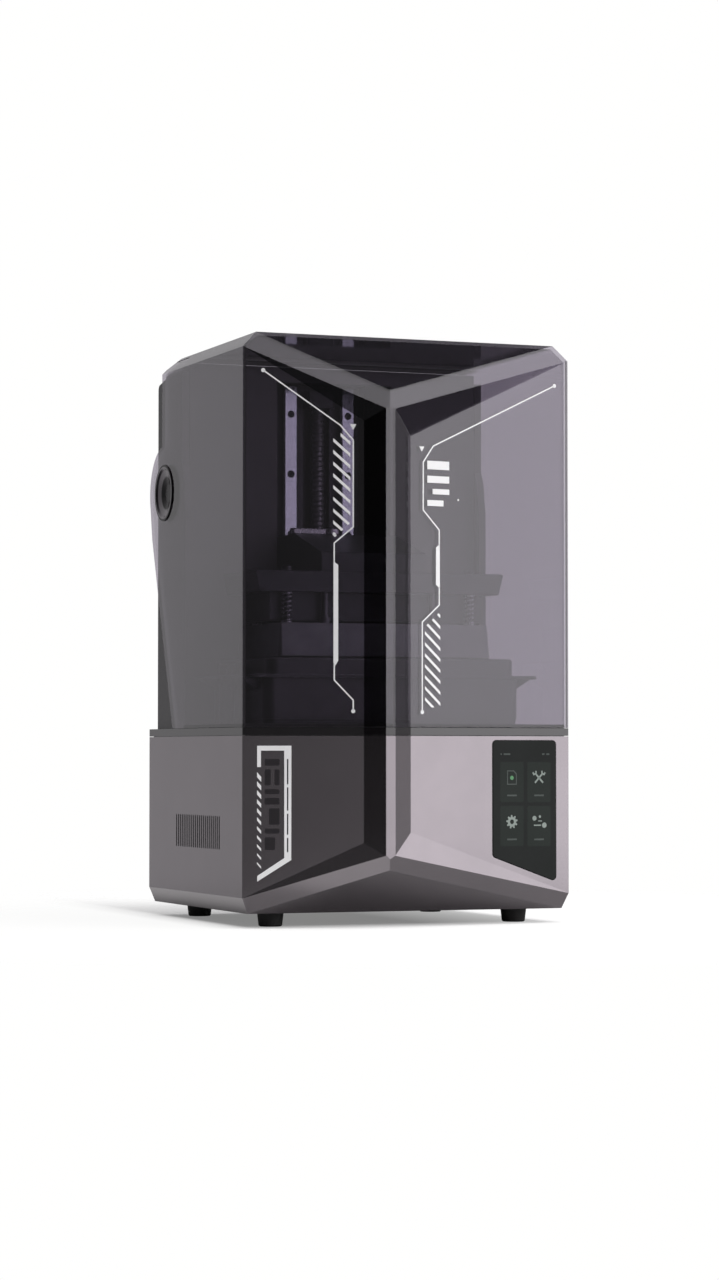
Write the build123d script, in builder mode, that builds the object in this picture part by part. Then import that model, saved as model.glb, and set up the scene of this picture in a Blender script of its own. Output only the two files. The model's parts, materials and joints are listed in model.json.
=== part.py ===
from build123d import *
import os
from math import cos, radians, sin, sqrt

# Desktop resin printer: a faceted sheet-metal base, a smoked faceted lid that tips back on two
# side hinges, a screw-driven build platform on two linear rails, and a vat on a tilting stage.
# Millimetres, +Z up, front towards -Y, origin on the table under the middle of the printer.

# ---------------------------------------------------------------- driving dimensions
WIDTH = 327.4
DEPTH = 329.2
HEIGHT = 548.0
WALL = 3.0
FOOT_HEIGHT = 13.5
BASE_TOP = 176.3
GROOVE = 0.5
DECK_TOP = 184.0
LID_BOTTOM = 184.3

HALF_WIDTH = WIDTH / 2
REAR_Y = DEPTH / 2
SPINE_Y = -DEPTH / 2
CORNER_Y = -117.3
SPINE_X = -36.7
SPINE_HALF = 4.6
LEFT, RIGHT = -1, 1
SIDES = (LEFT, RIGHT)

# hinge line of the lid, along X
HINGE_Y = 118.0
HINGE_Z = 416.0
LOBE_RADIUS = 46.5

# rear tower
TOWER_TOP = 540.5
ROOF_REAR = 535.0
TOWER_FRONT = 79.0
TOWER_REAR = 154.0
TOWER_HALF = 150.5
CHANNEL_HALF = 60.0
CHEEK_IN = 151.0
CHEEK_OUT = 158.5

# linear drive
SCREW_Y = 125.0
SCREW_RADIUS = 6.0
FIT = 0.05
RAIL_X = 30.5
RAIL_WIDTH = 12.0
RAIL_FRONT = 120.0
COLUMN_FRONT = 130.0
COLUMN_REAR = 142.0
COLUMN_HALF = 46.0
RAIL_BOTTOM = 238.0
RAIL_TOP = 527.0
RAIL_SCREW_FIRST = 259.0
RAIL_SCREW_PITCH = 60.0
RAIL_SCREWS = 5
HEAD_RADIUS = 3.3
SHANK_RADIUS = 2.0

# build platform at rest
CARRIAGE_HALF = 56.0
CARRIAGE_FRONT = 104.0
CARRIAGE_REAR = 114.0
ARM_TOP = 374.0
WING_TOP = 333.0
WING_BOTTOM = 313.0
PLATE_BOTTOM = 251.0
PLATE_TOP = 283.0
PLATE_HALF_X = 108.0
PLATE_HALF_Y = 61.0
SPRING_X = 93.5
SPRING_Y = 42.0

# tilting stage and vat
STAGE_TOP = 188.0
STAGE_BOTTOM = 180.0
STAGE_HALF = 131.0
STAGE_FRONT = -86.0
STAGE_REAR = 76.0
SCREEN_TOP = 190.0
VAT_Y = -4.0
TILT_X = -128.0
TILT_Z = 177.0
CLAMP_X = 140.0
LIFT_X = 124.0


# ---------------------------------------------------------------- faceted outer form
# Named corners of the crystal-like front. Each is a function of the side it is on.
def shoulder(side):
    return Vector(side * HALF_WIDTH, CORNER_Y, 533.6)


def top_corner(side):
    return Vector(side * 149.6, -113.8, HEIGHT)


def crease(side):
    return Vector(side * HALF_WIDTH, CORNER_Y, 27.9)


def bottom_corner(side):
    return Vector(side * 157.5, -114.3, FOOT_HEIGHT)


def spine_top(side):
    return Vector(SPINE_X + side * SPINE_HALF, SPINE_Y, 476.5)


def spine_bottom(side):
    return Vector(SPINE_X + side * SPINE_HALF, SPINE_Y, 66.8)


def panel_top(side):
    return Vector(-56.75, -148.6, 466.0) if side == LEFT else Vector(-10.42, -148.6, 453.4)


def panel_bottom(side):
    return Vector(-56.75, -148.6, 78.1) if side == LEFT else Vector(-10.42, -148.6, 87.3)


CORE = Vector(0, 0, HEIGHT / 2)
UPPER_JUNCTION = Vector(SPINE_X, -158.2, 494.3)
LOWER_JUNCTION = Vector(SPINE_X, -161.4, 53.1)


def face_plane(a, b, c, inside, inset):
    """Plane through three corners, facing away from a point inside, moved in by the inset."""
    normal = (b - a).cross(c - a).normalized()
    if normal.dot(a - inside) < 0:
        normal = -normal
    return Plane(origin=a - normal * inset, z_dir=normal)


def outer_planes(inset):
    """The flat faces that cut the body's box to its faceted form."""
    back = Vector(0, 100, 0)
    planes = [
        face_plane(top_corner(LEFT), top_corner(RIGHT), UPPER_JUNCTION, CORE, inset),
        face_plane(bottom_corner(LEFT), bottom_corner(RIGHT), LOWER_JUNCTION, CORE, inset),
    ]
    for side in SIDES:
        planes.append(face_plane(shoulder(side), crease(side), spine_top(side), CORE, inset))
        planes.append(face_plane(shoulder(side), top_corner(side), spine_top(side), CORE, inset))
        planes.append(face_plane(crease(side), bottom_corner(side), spine_bottom(side), CORE, inset))
        planes.append(face_plane(top_corner(side), top_corner(side) + back, shoulder(side), CORE, inset))
        planes.append(
            face_plane(bottom_corner(side), bottom_corner(side) + back, crease(side), CORE, inset)
        )
    return planes


def front_pocket(side, inset):
    """The sunk panel beside the spine, as the block of air in front of it."""
    walls = [
        (shoulder(side), crease(side), panel_top(side)),
        (shoulder(side), spine_top(side), panel_top(side)),
        (crease(side), spine_bottom(side), panel_bottom(side)),
        (spine_top(side), panel_top(side), panel_bottom(side)),
    ]
    air = (shoulder(side) + crease(side)) * 0.25 + (spine_top(side) + spine_bottom(side)) * 0.25
    with BuildPart() as pocket:
        with Locations((SPINE_X + side * 150, SPINE_Y, CORE.Z)):
            Box(300, 140, 2 * HEIGHT)
        for a, b, c in walls:
            plane = face_plane(a, b, c, air, 0)
            plane = Plane(origin=plane.origin + plane.z_dir * inset, z_dir=plane.z_dir)
            split(bisect_by=plane, keep=Keep.BOTTOM)
    return pocket.part


def faceted_body(inset):
    """The whole closed form of the printer, every face moved in by the inset."""
    pockets = [front_pocket(side, inset) for side in SIDES]
    with BuildPart() as body:
        with Locations((0, 0, (HEIGHT + FOOT_HEIGHT) / 2)):
            Box(WIDTH - 2 * inset, DEPTH - 2 * inset, HEIGHT - FOOT_HEIGHT - 2 * inset)
        for plane in outer_planes(inset):
            split(bisect_by=plane, keep=Keep.BOTTOM)
        for pocket in pockets:
            add(pocket, mode=Mode.SUBTRACT)
    return body.part


OUTER = faceted_body(0)
INNER = faceted_body(WALL)

os.makedirs("parts", exist_ok=True)


def save(name, builder):
    """Label a finished piece and write its STEP file under the same name."""
    builder.part.label = name
    export_step(builder.part, f"parts/{name}.step")


def slab(x_low, x_high, y_low, y_high, z_low, z_high, mode=Mode.ADD):
    """A block between six faces, added to or cut from the open part."""
    size = (x_high - x_low, y_high - y_low, z_high - z_low)
    with Locations(((x_low + x_high) / 2, (y_low + y_high) / 2, (z_low + z_high) / 2)):
        Box(*size, mode=mode)


def post(x, y, z_low, z_high, radius, mode=Mode.ADD):
    """An upright cylinder between two heights."""
    with Locations((x, y, (z_low + z_high) / 2)):
        Cylinder(radius, z_high - z_low, mode=mode)


def rod_y(x, z, y_low, y_high, radius, mode=Mode.ADD):
    """A cylinder along Y between two depths."""
    with Locations((x, (y_low + y_high) / 2, z)):
        Cylinder(radius, y_high - y_low, rotation=(90, 0, 0), mode=mode)


def rod_x(y, z, x_low, x_high, radius, mode=Mode.ADD):
    """A cylinder along X between two widths."""
    with Locations(((x_low + x_high) / 2, y, z)):
        Cylinder(radius, x_high - x_low, rotation=(0, 90, 0), mode=mode)


# ---------------------------------------------------------------- sunk front panel, right side
corner_point = Vector(HALF_WIDTH, CORNER_Y, 0)
panel_start = Vector(panel_top(RIGHT).X, panel_top(RIGHT).Y, 0)
panel_dir = (corner_point - panel_start).normalized()
panel_normal = Vector(panel_dir.Y, -panel_dir.X, 0)
RIGHT_PANEL = Plane(origin=panel_start, x_dir=panel_dir, z_dir=panel_normal)

# touchscreen outline on that panel: along the panel from its inner edge, and up
SCREEN_LEFT = 90.3
SCREEN_RIGHT = 162.5
SCREEN_HIGH = 172.3
SCREEN_LOW_LEFT = 63.6
SCREEN_LOW_RIGHT = 38.9
GLASS_PROUD = 0.6
GLASS_DEPTH = 2.2


def screen_outline(inset, corner):
    """The touchscreen's outline with its slanted lower edge, drawn smaller by the inset."""
    with BuildSketch(Plane.XY) as outline:
        with BuildLine():
            Polyline(
                (SCREEN_LEFT, SCREEN_HIGH),
                (SCREEN_RIGHT, SCREEN_HIGH),
                (SCREEN_RIGHT, SCREEN_LOW_RIGHT),
                (SCREEN_LEFT, SCREEN_LOW_LEFT),
                close=True,
            )
        make_face()
        offset(amount=-inset, kind=Kind.INTERSECTION)
        fillet(outline.vertices(), corner)
    return outline.sketch


# ---------------------------------------------------------------- base shell
VENT_Y = 12.5
VENT_LENGTH = 134.2
VENT_Z = 86.2
VENT_HEIGHT = 31.5
VENT_SLOTS = 23
VENT_SLOT = 2.6
FLOOR_HALF_X = 140.0
FLOOR_FRONT = -100.0
FLOOR_REAR = 150.0
FLOOR_LIP = 9.0
FLOOR_GAP = 0.2
FAN_X = -95.0
FAN_Z = 100.0
GRILLE_GRID = (7.0, 29.0, 7, 2)
GRILLE_LENGTH = 24.0
GRILLE_SLOT = 3.6
IO_X = 95.0
IO_Z = 86.0
IO_WIDTH = 92.0
IO_HEIGHT = 46.0
USB_Y = -92.0
USB_Z = 140.0

screen_opening = screen_outline(-0.2, 4.2)
with BuildPart() as base_shell:
    add(OUTER)
    split(bisect_by=Plane.XY.offset(BASE_TOP), keep=Keep.BOTTOM)
    add(INNER, mode=Mode.SUBTRACT)
    # floor opening, closed by the floor plate
    slab(-FLOOR_HALF_X, FLOOR_HALF_X, FLOOR_FRONT, FLOOR_REAR, 0, FOOT_HEIGHT + WALL + 1, Mode.SUBTRACT)
    # a row of upright vent slots in each side
    with BuildSketch(Plane.YZ.offset(-HALF_WIDTH - 1)):
        with Locations((VENT_Y, VENT_Z)):
            with GridLocations(VENT_LENGTH / VENT_SLOTS, 0, VENT_SLOTS, 1):
                SlotOverall(VENT_HEIGHT, VENT_SLOT, rotation=90)
    extrude(amount=WIDTH + 2, mode=Mode.SUBTRACT)
    # exhaust grille and socket opening in the back
    with BuildSketch(Plane.XZ.offset(-REAR_Y - 1)):
        with Locations((FAN_X, FAN_Z)):
            with GridLocations(*GRILLE_GRID):
                SlotOverall(GRILLE_LENGTH, GRILLE_SLOT, rotation=90)
        with Locations((IO_X, IO_Z)):
            RectangleRounded(IO_WIDTH, IO_HEIGHT, 3)
    extrude(amount=WALL + 2, mode=Mode.SUBTRACT)
    # memory-stick slot low on the right side, near the front
    with BuildSketch(Plane.YZ.offset(HALF_WIDTH + 1)):
        with Locations((USB_Y, USB_Z)):
            RectangleRounded(15.0, 7.6, 1.0)
    extrude(amount=-WALL - 2, mode=Mode.SUBTRACT)
    # touchscreen opening in the sunk panel
    with BuildSketch(RIGHT_PANEL.offset(2)):
        add(screen_opening)
    extrude(amount=-WALL - 4, mode=Mode.SUBTRACT)
save("base_shell", base_shell)

FLOOR_TOP = FOOT_HEIGHT + WALL + 2
FOOT_X = 123.0
FOOT_FRONT_Y = -79.4
FOOT_REAR_Y = 128.3
FOOT_RADIUS = 12.5
FOOT_TAPER = 1.6
FEET = [(side * FOOT_X, y) for side in SIDES for y in (FOOT_FRONT_Y, FOOT_REAR_Y)]

with BuildPart() as floor_plate:
    slab(
        -FLOOR_HALF_X + FLOOR_GAP,
        FLOOR_HALF_X - FLOOR_GAP,
        FLOOR_FRONT + FLOOR_GAP,
        FLOOR_REAR - FLOOR_GAP,
        FOOT_HEIGHT,
        FOOT_HEIGHT + WALL,
    )
    slab(
        -FLOOR_HALF_X - FLOOR_LIP,
        FLOOR_HALF_X + FLOOR_LIP,
        FLOOR_FRONT - FLOOR_LIP + 4,
        FLOOR_REAR + FLOOR_LIP,
        FOOT_HEIGHT + WALL,
        FOOT_HEIGHT + WALL + 2,
    )
    # intake slots under the heat sink
    with BuildSketch(Plane.XY.offset(FOOT_HEIGHT - 1)):
        with GridLocations(12, 60, 9, 2):
            SlotOverall(44, 4, rotation=90)
    extrude(amount=WALL + 4, mode=Mode.SUBTRACT)
    for x, y in FEET:
        post(x, y, FOOT_HEIGHT - 1, FLOOR_TOP + 1, 2.1, Mode.SUBTRACT)
save("floor_plate", floor_plate)

# ---------------------------------------------------------------- feet
with BuildPart() as rubber_feet:
    for x, y in FEET:
        with Locations((x, y, FOOT_HEIGHT / 2)):
            Cone(FOOT_RADIUS - FOOT_TAPER, FOOT_RADIUS, FOOT_HEIGHT)
    chamfer(rubber_feet.faces().sort_by(Axis.Z)[:4].edges(), 1.0)
    for x, y in FEET:
        post(x, y, 0, 4.0, 4.6, Mode.SUBTRACT)
        post(x, y, 3.0, FOOT_HEIGHT, 2.1, Mode.SUBTRACT)
save("rubber_feet", rubber_feet)

with BuildPart() as foot_screws:
    for x, y in FEET:
        post(x, y, 1.4, 4.0, 4.0)
        post(x, y, 4.0, FLOOR_TOP + 3, 2.0)
save("foot_screws", foot_screws)

# ---------------------------------------------------------------- deck frame
WINDOW_HALF = 134.5
WINDOW_FRONT = -88.0
WINDOW_REAR = 78.0
EAR_HALF = 150.0
EAR_FRONT = -24.0
EAR_REAR = 16.0
COLUMN_HOLE_HALF = 48.0
COLUMN_HOLE_FRONT = 90.0
COLUMN_HOLE_REAR = 147.0
DECK_UNDER = DECK_TOP - WALL
LIP_GAP = 0.3
LIP_WIDTH = 2.0
LIP_FOOT = 174.5

# the air under the deck, inside its skirt
lip_core = faceted_body(WALL + LIP_GAP + LIP_WIDTH)
with BuildPart() as deck_hollow:
    add(lip_core)
    split(bisect_by=Plane.XY.offset(DECK_UNDER), keep=Keep.BOTTOM)
    split(bisect_by=Plane.XY.offset(LIP_FOOT - 1), keep=Keep.TOP)

# a locating lip reaches down inside the base and closes the groove from within
with BuildPart() as deck_lip:
    add(faceted_body(WALL + LIP_GAP))
    split(bisect_by=Plane.XY.offset(BASE_TOP + GROOVE), keep=Keep.BOTTOM)
    split(bisect_by=Plane.XY.offset(LIP_FOOT), keep=Keep.TOP)

with BuildPart() as deck_frame:
    add(OUTER)
    split(bisect_by=Plane.XY.offset(DECK_TOP), keep=Keep.BOTTOM)
    split(bisect_by=Plane.XY.offset(BASE_TOP + GROOVE), keep=Keep.TOP)
    add(deck_lip.part)
    add(deck_hollow.part, mode=Mode.SUBTRACT)
    with BuildSketch(Plane.XY.offset(DECK_TOP + 1)):
        with Locations((0, (WINDOW_FRONT + WINDOW_REAR) / 2)):
            RectangleRounded(2 * WINDOW_HALF, WINDOW_REAR - WINDOW_FRONT, 3)
        with Locations((0, (EAR_FRONT + EAR_REAR) / 2)):
            RectangleRounded(2 * EAR_HALF, EAR_REAR - EAR_FRONT, 4)
        with Locations((0, (COLUMN_HOLE_FRONT + COLUMN_HOLE_REAR) / 2)):
            RectangleRounded(2 * COLUMN_HOLE_HALF, COLUMN_HOLE_REAR - COLUMN_HOLE_FRONT, 3)
    extrude(amount=-12, mode=Mode.SUBTRACT)

save("deck_frame", deck_frame)

# ---------------------------------------------------------------- lid
REAR_EDGE_Y = 125.5
TOP_BEVEL = 10.0
TOP_BEVEL_RUN = 17.5
SLANT_TOP = (157.0, 372.0)
SLANT_FOOT = (90.9, LID_BOTTOM)
LOBE_TURN = -13.0
CAP_HOLE = 24.3
INNER_HALF = HALF_WIDTH - WALL

lobe_rise = sqrt(LOBE_RADIUS**2 - (REAR_EDGE_Y - HINGE_Y) ** 2)
lobe_start = (REAR_EDGE_Y, HINGE_Z + lobe_rise)
lobe_middle = (
    HINGE_Y + LOBE_RADIUS * cos(radians(20)),
    HINGE_Z + LOBE_RADIUS * sin(radians(20)),
)
lobe_end = (
    HINGE_Y + LOBE_RADIUS * cos(radians(LOBE_TURN)),
    HINGE_Z + LOBE_RADIUS * sin(radians(LOBE_TURN)),
)

with BuildPart() as lid_shell:
    add(OUTER)
    split(bisect_by=Plane.XY.offset(LID_BOTTOM), keep=Keep.TOP)
    add(INNER, mode=Mode.SUBTRACT)
    # side profile: open back, round hinge lobe, slanted rear edge
    with BuildSketch(Plane.YZ.offset(-HALF_WIDTH - 1)):
        with BuildLine():
            Polyline(
                lobe_end,
                SLANT_TOP,
                SLANT_FOOT,
                (SPINE_Y - 5, LID_BOTTOM),
                (SPINE_Y - 5, HEIGHT + 1),
                (REAR_EDGE_Y - TOP_BEVEL_RUN, HEIGHT + 1),
                (REAR_EDGE_Y - TOP_BEVEL_RUN, HEIGHT),
                (REAR_EDGE_Y, HEIGHT - TOP_BEVEL),
                lobe_start,
            )
            ThreePointArc(lobe_start, lobe_middle, lobe_end)
        make_face()
    extrude(amount=WIDTH + 2, mode=Mode.INTERSECT)
    # the back wall is cut away between the two lobes
    slab(-INNER_HALF, INNER_HALF, 140, REAR_Y + 5, 300, 500, Mode.SUBTRACT)
    rod_x(HINGE_Y, HINGE_Z, -HALF_WIDTH - 1, HALF_WIDTH + 1, CAP_HOLE, Mode.SUBTRACT)
save("lid_shell", lid_shell)

SEAL_WIDTH = 2.2
SEAL_HEIGHT = 3.2
SEAL_REAR_Y = 64.0
seal_core = faceted_body(WALL + SEAL_WIDTH)
with BuildPart() as lid_seal:
    add(INNER)
    split(bisect_by=Plane.XY.offset(DECK_TOP + 0.1), keep=Keep.TOP)
    split(bisect_by=Plane.XY.offset(LID_BOTTOM + SEAL_HEIGHT), keep=Keep.BOTTOM)
    add(seal_core, mode=Mode.SUBTRACT)
    split(bisect_by=Plane.XZ.offset(-SEAL_REAR_Y), keep=Keep.TOP)
save("lid_seal", lid_seal)

# ---------------------------------------------------------------- lid hinges
PIN_RADIUS = 5.0
PIN_TIP = 158.8
HUB_INNER = 154.9
HUB_RADIUS = 24.2
CAP_RADIUS = 28.0
CAP_PROUD = 1.2
RIM_INNER = 24.5
DISH_RADIUS = 9.0
DISH_FLOOR = 159.5
COUNTERBORE = 26.0

CAP_PROFILE = [
    (0, PIN_TIP + 0.1),
    (PIN_RADIUS + FIT, PIN_TIP + 0.1),
    (PIN_RADIUS + FIT, HUB_INNER),
    (HUB_RADIUS, HUB_INNER),
    (HUB_RADIUS, HALF_WIDTH),
    (CAP_RADIUS, HALF_WIDTH),
    (CAP_RADIUS, HALF_WIDTH + CAP_PROUD / 2),
    (CAP_RADIUS - CAP_PROUD / 2, HALF_WIDTH + CAP_PROUD),
    (RIM_INNER, HALF_WIDTH + CAP_PROUD),
    (RIM_INNER - 2, HALF_WIDTH - 0.6),
    (DISH_RADIUS, DISH_FLOOR),
    (0, DISH_FLOOR),
]
HINGE_POINT = (0, HINGE_Y, HINGE_Z)
for side, name in ((LEFT, "hinge_cap_left"), (RIGHT, "hinge_cap_right")):
    with BuildPart() as hinge_cap:
        with BuildSketch(Plane(origin=HINGE_POINT, x_dir=(0, 1, 0), z_dir=(0, 0, 1))):
            with BuildLine():
                Polyline(*[(r, -side * x) for r, x in CAP_PROFILE], close=True)
            make_face()
        revolve(axis=Axis(HINGE_POINT, (1, 0, 0)))
    save(name, hinge_cap)

with BuildPart() as hinge_pins:
    for side in SIDES:
        ends = sorted((side * CHEEK_IN, side * PIN_TIP))
        rod_x(HINGE_Y, HINGE_Z, ends[0], ends[1], PIN_RADIUS)
save("hinge_pins", hinge_pins)

# ---------------------------------------------------------------- hinge cheeks
CHEEK_FRONT = 68.0
CHEEK_BOSS = 47.0
CHEEK_ROUND = 5.0
CHEEK_TOP = 532.0
CHEEK_TOP_REAR = 525.0
boss_top = (TOWER_FRONT, HINGE_Z + sqrt(CHEEK_BOSS**2 - (HINGE_Y - TOWER_FRONT) ** 2))
boss_nose = (HINGE_Y - CHEEK_BOSS, HINGE_Z)
boss_middle = (
    HINGE_Y - CHEEK_BOSS * cos(radians(17)),
    HINGE_Z + CHEEK_BOSS * sin(radians(17)),
)
for side, name in ((LEFT, "hinge_cheek_left"), (RIGHT, "hinge_cheek_right")):
    with BuildPart() as hinge_cheek:
        with BuildSketch(Plane.YZ.offset(min(side * CHEEK_IN, side * CHEEK_OUT))) as cheek_side:
            with BuildLine():
                Polyline(
                    boss_top,
                    (TOWER_FRONT, CHEEK_TOP),
                    (HINGE_Y, CHEEK_TOP),
                    (TOWER_REAR, CHEEK_TOP_REAR),
                    (TOWER_REAR, DECK_TOP),
                    (CHEEK_FRONT, DECK_TOP),
                    (CHEEK_FRONT, HINGE_Z - 14),
                    boss_nose,
                )
                ThreePointArc(boss_nose, boss_middle, boss_top)
            make_face()
            fillet(cheek_side.vertices().group_by(Axis.X)[-1].sort_by(Axis.Y)[-1], CHEEK_ROUND)
        extrude(amount=CHEEK_OUT - CHEEK_IN)
        ends = sorted((side * (HUB_INNER - 0.6), side * (CHEEK_OUT + 1)))
        rod_x(HINGE_Y, HINGE_Z, ends[0], ends[1], COUNTERBORE, Mode.SUBTRACT)
        ends = sorted((side * (CHEEK_IN - 1), side * CHEEK_OUT))
        rod_x(HINGE_Y, HINGE_Z, ends[0], ends[1], PIN_RADIUS, Mode.SUBTRACT)
    save(name, hinge_cheek)

# ---------------------------------------------------------------- rear tower cover
COVER_WALL = 2.5
LINTEL_LOW = 526.0
COMPARTMENTS = (
    (-TOWER_HALF + COVER_WALL, -CHANNEL_HALF - COVER_WALL),
    (-CHANNEL_HALF, CHANNEL_HALF),
    (CHANNEL_HALF + COVER_WALL, TOWER_HALF - COVER_WALL),
)
with BuildPart() as rear_housing:
    # the roof falls towards the back, inside the swing of the lid's top
    with BuildSketch(Plane.YZ.offset(-TOWER_HALF)):
        with BuildLine():
            Polyline(
                (TOWER_FRONT, DECK_TOP),
                (TOWER_FRONT, TOWER_TOP),
                (HINGE_Y, TOWER_TOP),
                (TOWER_REAR, ROOF_REAR),
                (TOWER_REAR, DECK_TOP),
                close=True,
            )
        make_face()
    extrude(amount=2 * TOWER_HALF)
    # left compartment, the column's channel and right compartment, all open below
    for x_low, x_high in COMPARTMENTS:
        with BuildSketch(Plane.YZ.offset(x_low)):
            with BuildLine():
                Polyline(
                    (TOWER_FRONT + COVER_WALL, DECK_TOP - 1),
                    (TOWER_FRONT + COVER_WALL, TOWER_TOP - COVER_WALL),
                    (HINGE_Y, TOWER_TOP - COVER_WALL),
                    (TOWER_REAR - COVER_WALL, ROOF_REAR - COVER_WALL),
                    (TOWER_REAR - COVER_WALL, DECK_TOP - 1),
                    close=True,
                )
            make_face()
        extrude(amount=x_high - x_low, mode=Mode.SUBTRACT)
    # the channel is open to the front, up to a lintel above the carriage's highest place
    slab(
        -CHANNEL_HALF,
        CHANNEL_HALF,
        TOWER_FRONT - 1,
        TOWER_FRONT + COVER_WALL + 1,
        DECK_TOP - 1,
        LINTEL_LOW,
        Mode.SUBTRACT,
    )
    # breather slots high in the back, one group behind each compartment
    with BuildSketch(Plane.XZ.offset(-TOWER_REAR - 1)):
        with Locations((-105, 470), (105, 470)):
            with GridLocations(8.0, 0, 8, 1):
                SlotOverall(42.0, 3.0, rotation=90)
    extrude(amount=COVER_WALL + 2, mode=Mode.SUBTRACT)
save("rear_housing", rear_housing)

# ---------------------------------------------------------------- column and rails
COLUMN_BOTTOM = 150.0
COLUMN_TOP = 529.0
GROOVE_HALF = 14.0
GROOVE_DEPTH = 8.0
RAIL_SCREW_Z = [RAIL_SCREW_FIRST + RAIL_SCREW_PITCH * i for i in range(RAIL_SCREWS)]

with BuildPart() as column_plate:
    slab(-COLUMN_HALF, COLUMN_HALF, COLUMN_FRONT, COLUMN_REAR, COLUMN_BOTTOM, COLUMN_TOP)
    chamfer(column_plate.edges().filter_by(Axis.Z), 1.0)
    slab(
        -GROOVE_HALF,
        GROOVE_HALF,
        COLUMN_FRONT - 1,
        COLUMN_FRONT + GROOVE_DEPTH,
        COLUMN_BOTTOM - 1,
        COLUMN_TOP + 1,
        Mode.SUBTRACT,
    )
    for side in SIDES:
        for z in RAIL_SCREW_Z:
            rod_y(side * RAIL_X, z, COLUMN_FRONT - 1, COLUMN_FRONT + 7, SHANK_RADIUS + 0.1, Mode.SUBTRACT)
save("column_plate", column_plate)

for side, name in ((LEFT, "rail_left"), (RIGHT, "rail_right")):
    with BuildPart() as rail:
        x = side * RAIL_X
        with BuildSketch(Plane.XY.offset(RAIL_BOTTOM)):
            with Locations((x, (RAIL_FRONT + COLUMN_FRONT) / 2)):
                Rectangle(RAIL_WIDTH, COLUMN_FRONT - RAIL_FRONT)
                # shallow ball grooves in the two flanks
                with Locations((-RAIL_WIDTH / 2, -1.5), (RAIL_WIDTH / 2, -1.5)):
                    Circle(1.2, mode=Mode.SUBTRACT)
        extrude(amount=RAIL_TOP - RAIL_BOTTOM)
        for z in RAIL_SCREW_Z:
            rod_y(x, z, RAIL_FRONT - 1, RAIL_FRONT + 5, HEAD_RADIUS + 0.3, Mode.SUBTRACT)
            rod_y(x, z, RAIL_FRONT, COLUMN_FRONT + 1, SHANK_RADIUS + 0.1, Mode.SUBTRACT)
    save(name, rail)

with BuildPart() as rail_screws:
    for side in SIDES:
        for z in RAIL_SCREW_Z:
            rod_y(side * RAIL_X, z, RAIL_FRONT + 1, RAIL_FRONT + 5, HEAD_RADIUS)
            rod_y(side * RAIL_X, z, RAIL_FRONT + 5, COLUMN_FRONT + 6, SHANK_RADIUS)
    # hexagon sockets in the heads
    with BuildSketch(Plane.XZ.offset(-RAIL_FRONT - 1)):
        with Locations(*[(side * RAIL_X, z) for side in SIDES for z in RAIL_SCREW_Z]):
            RegularPolygon(1.7, 6)
    extrude(amount=-2.5, mode=Mode.SUBTRACT)
save("rail_screws", rail_screws)

# two brackets that stand on the deck beside the column, each hollowed for its bolt
BRACKET_HEIGHT = 26.0
BRACKET_SOLE = 5.0
with BuildPart() as column_feet:
    for side in SIDES:
        ends = sorted((side * COLUMN_HALF, side * (CHANNEL_HALF - 0.5)))
        slab(ends[0], ends[1], 118, 148, DECK_TOP, DECK_TOP + BRACKET_HEIGHT)
        middle = side * (COLUMN_HALF + 7.5)
        slab(
            middle - 5,
            middle + 5,
            113,
            138,
            DECK_TOP + BRACKET_SOLE,
            DECK_TOP + BRACKET_HEIGHT + 1,
            Mode.SUBTRACT,
        )
        post(middle, 130, DECK_TOP + 1, DECK_TOP + BRACKET_SOLE + 1, 2.5, Mode.SUBTRACT)
save("column_feet", column_feet)

# ---------------------------------------------------------------- motor, coupler and screw
MOTOR_HALF = 21.15
MOTOR_BOTTOM = 96.0
MOTOR_BOLTS = 31.0
PILOT_RADIUS = 11.0
MOUNT_BOTTOM = 144.0
COUPLER_BOTTOM = 153.0
COUPLER_TOP = 178.0
SCREW_BOTTOM = 166.0
SCREW_TOP = 520.0
SHAFT_RADIUS = 2.5
LOWER_BEARING = (190.0, 208.0)
UPPER_BEARING = (506.0, 522.0)
BEARING_FRONT = CARRIAGE_REAR + 0.6

with BuildPart() as z_motor:
    with BuildSketch(Plane.XY.offset(MOTOR_BOTTOM)) as motor_plan:
        with Locations((0, SCREW_Y)):
            Rectangle(2 * MOTOR_HALF, 2 * MOTOR_HALF)
        chamfer(motor_plan.vertices(), 4)
    extrude(amount=MOUNT_BOTTOM - MOTOR_BOTTOM)
    post(0, SCREW_Y, MOUNT_BOTTOM, MOUNT_BOTTOM + 2, PILOT_RADIUS)
    post(0, SCREW_Y, MOUNT_BOTTOM - 14, MOUNT_BOTTOM + 3, SHAFT_RADIUS + FIT, Mode.SUBTRACT)
save("z_motor", z_motor)

with BuildPart() as motor_mount:
    slab(-COLUMN_HALF, COLUMN_HALF, 100, COLUMN_REAR + 3, MOUNT_BOTTOM, COLUMN_BOTTOM)
    post(0, SCREW_Y, MOUNT_BOTTOM - 1, COLUMN_BOTTOM + 1, PILOT_RADIUS + 0.1, Mode.SUBTRACT)
    with BuildSketch(Plane.XY.offset(COLUMN_BOTTOM)):
        with Locations((0, SCREW_Y)):
            with GridLocations(MOTOR_BOLTS, MOTOR_BOLTS, 2, 2):
                Circle(1.6)
    extrude(amount=-6, mode=Mode.SUBTRACT)
save("motor_mount", motor_mount)

# the coupler is clamped on the motor's shaft, and the two are one piece here
with BuildPart() as shaft_coupler:
    post(0, SCREW_Y, COUPLER_BOTTOM, COUPLER_TOP, 9.5)
    chamfer(shaft_coupler.edges().filter_by(GeomType.CIRCLE), 0.6)
    post(0, SCREW_Y, SCREW_BOTTOM, COUPLER_TOP + 1, SCREW_RADIUS, Mode.SUBTRACT)
    post(0, SCREW_Y, MOUNT_BOTTOM - 12, COUPLER_BOTTOM, SHAFT_RADIUS)
save("shaft_coupler", shaft_coupler)

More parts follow.
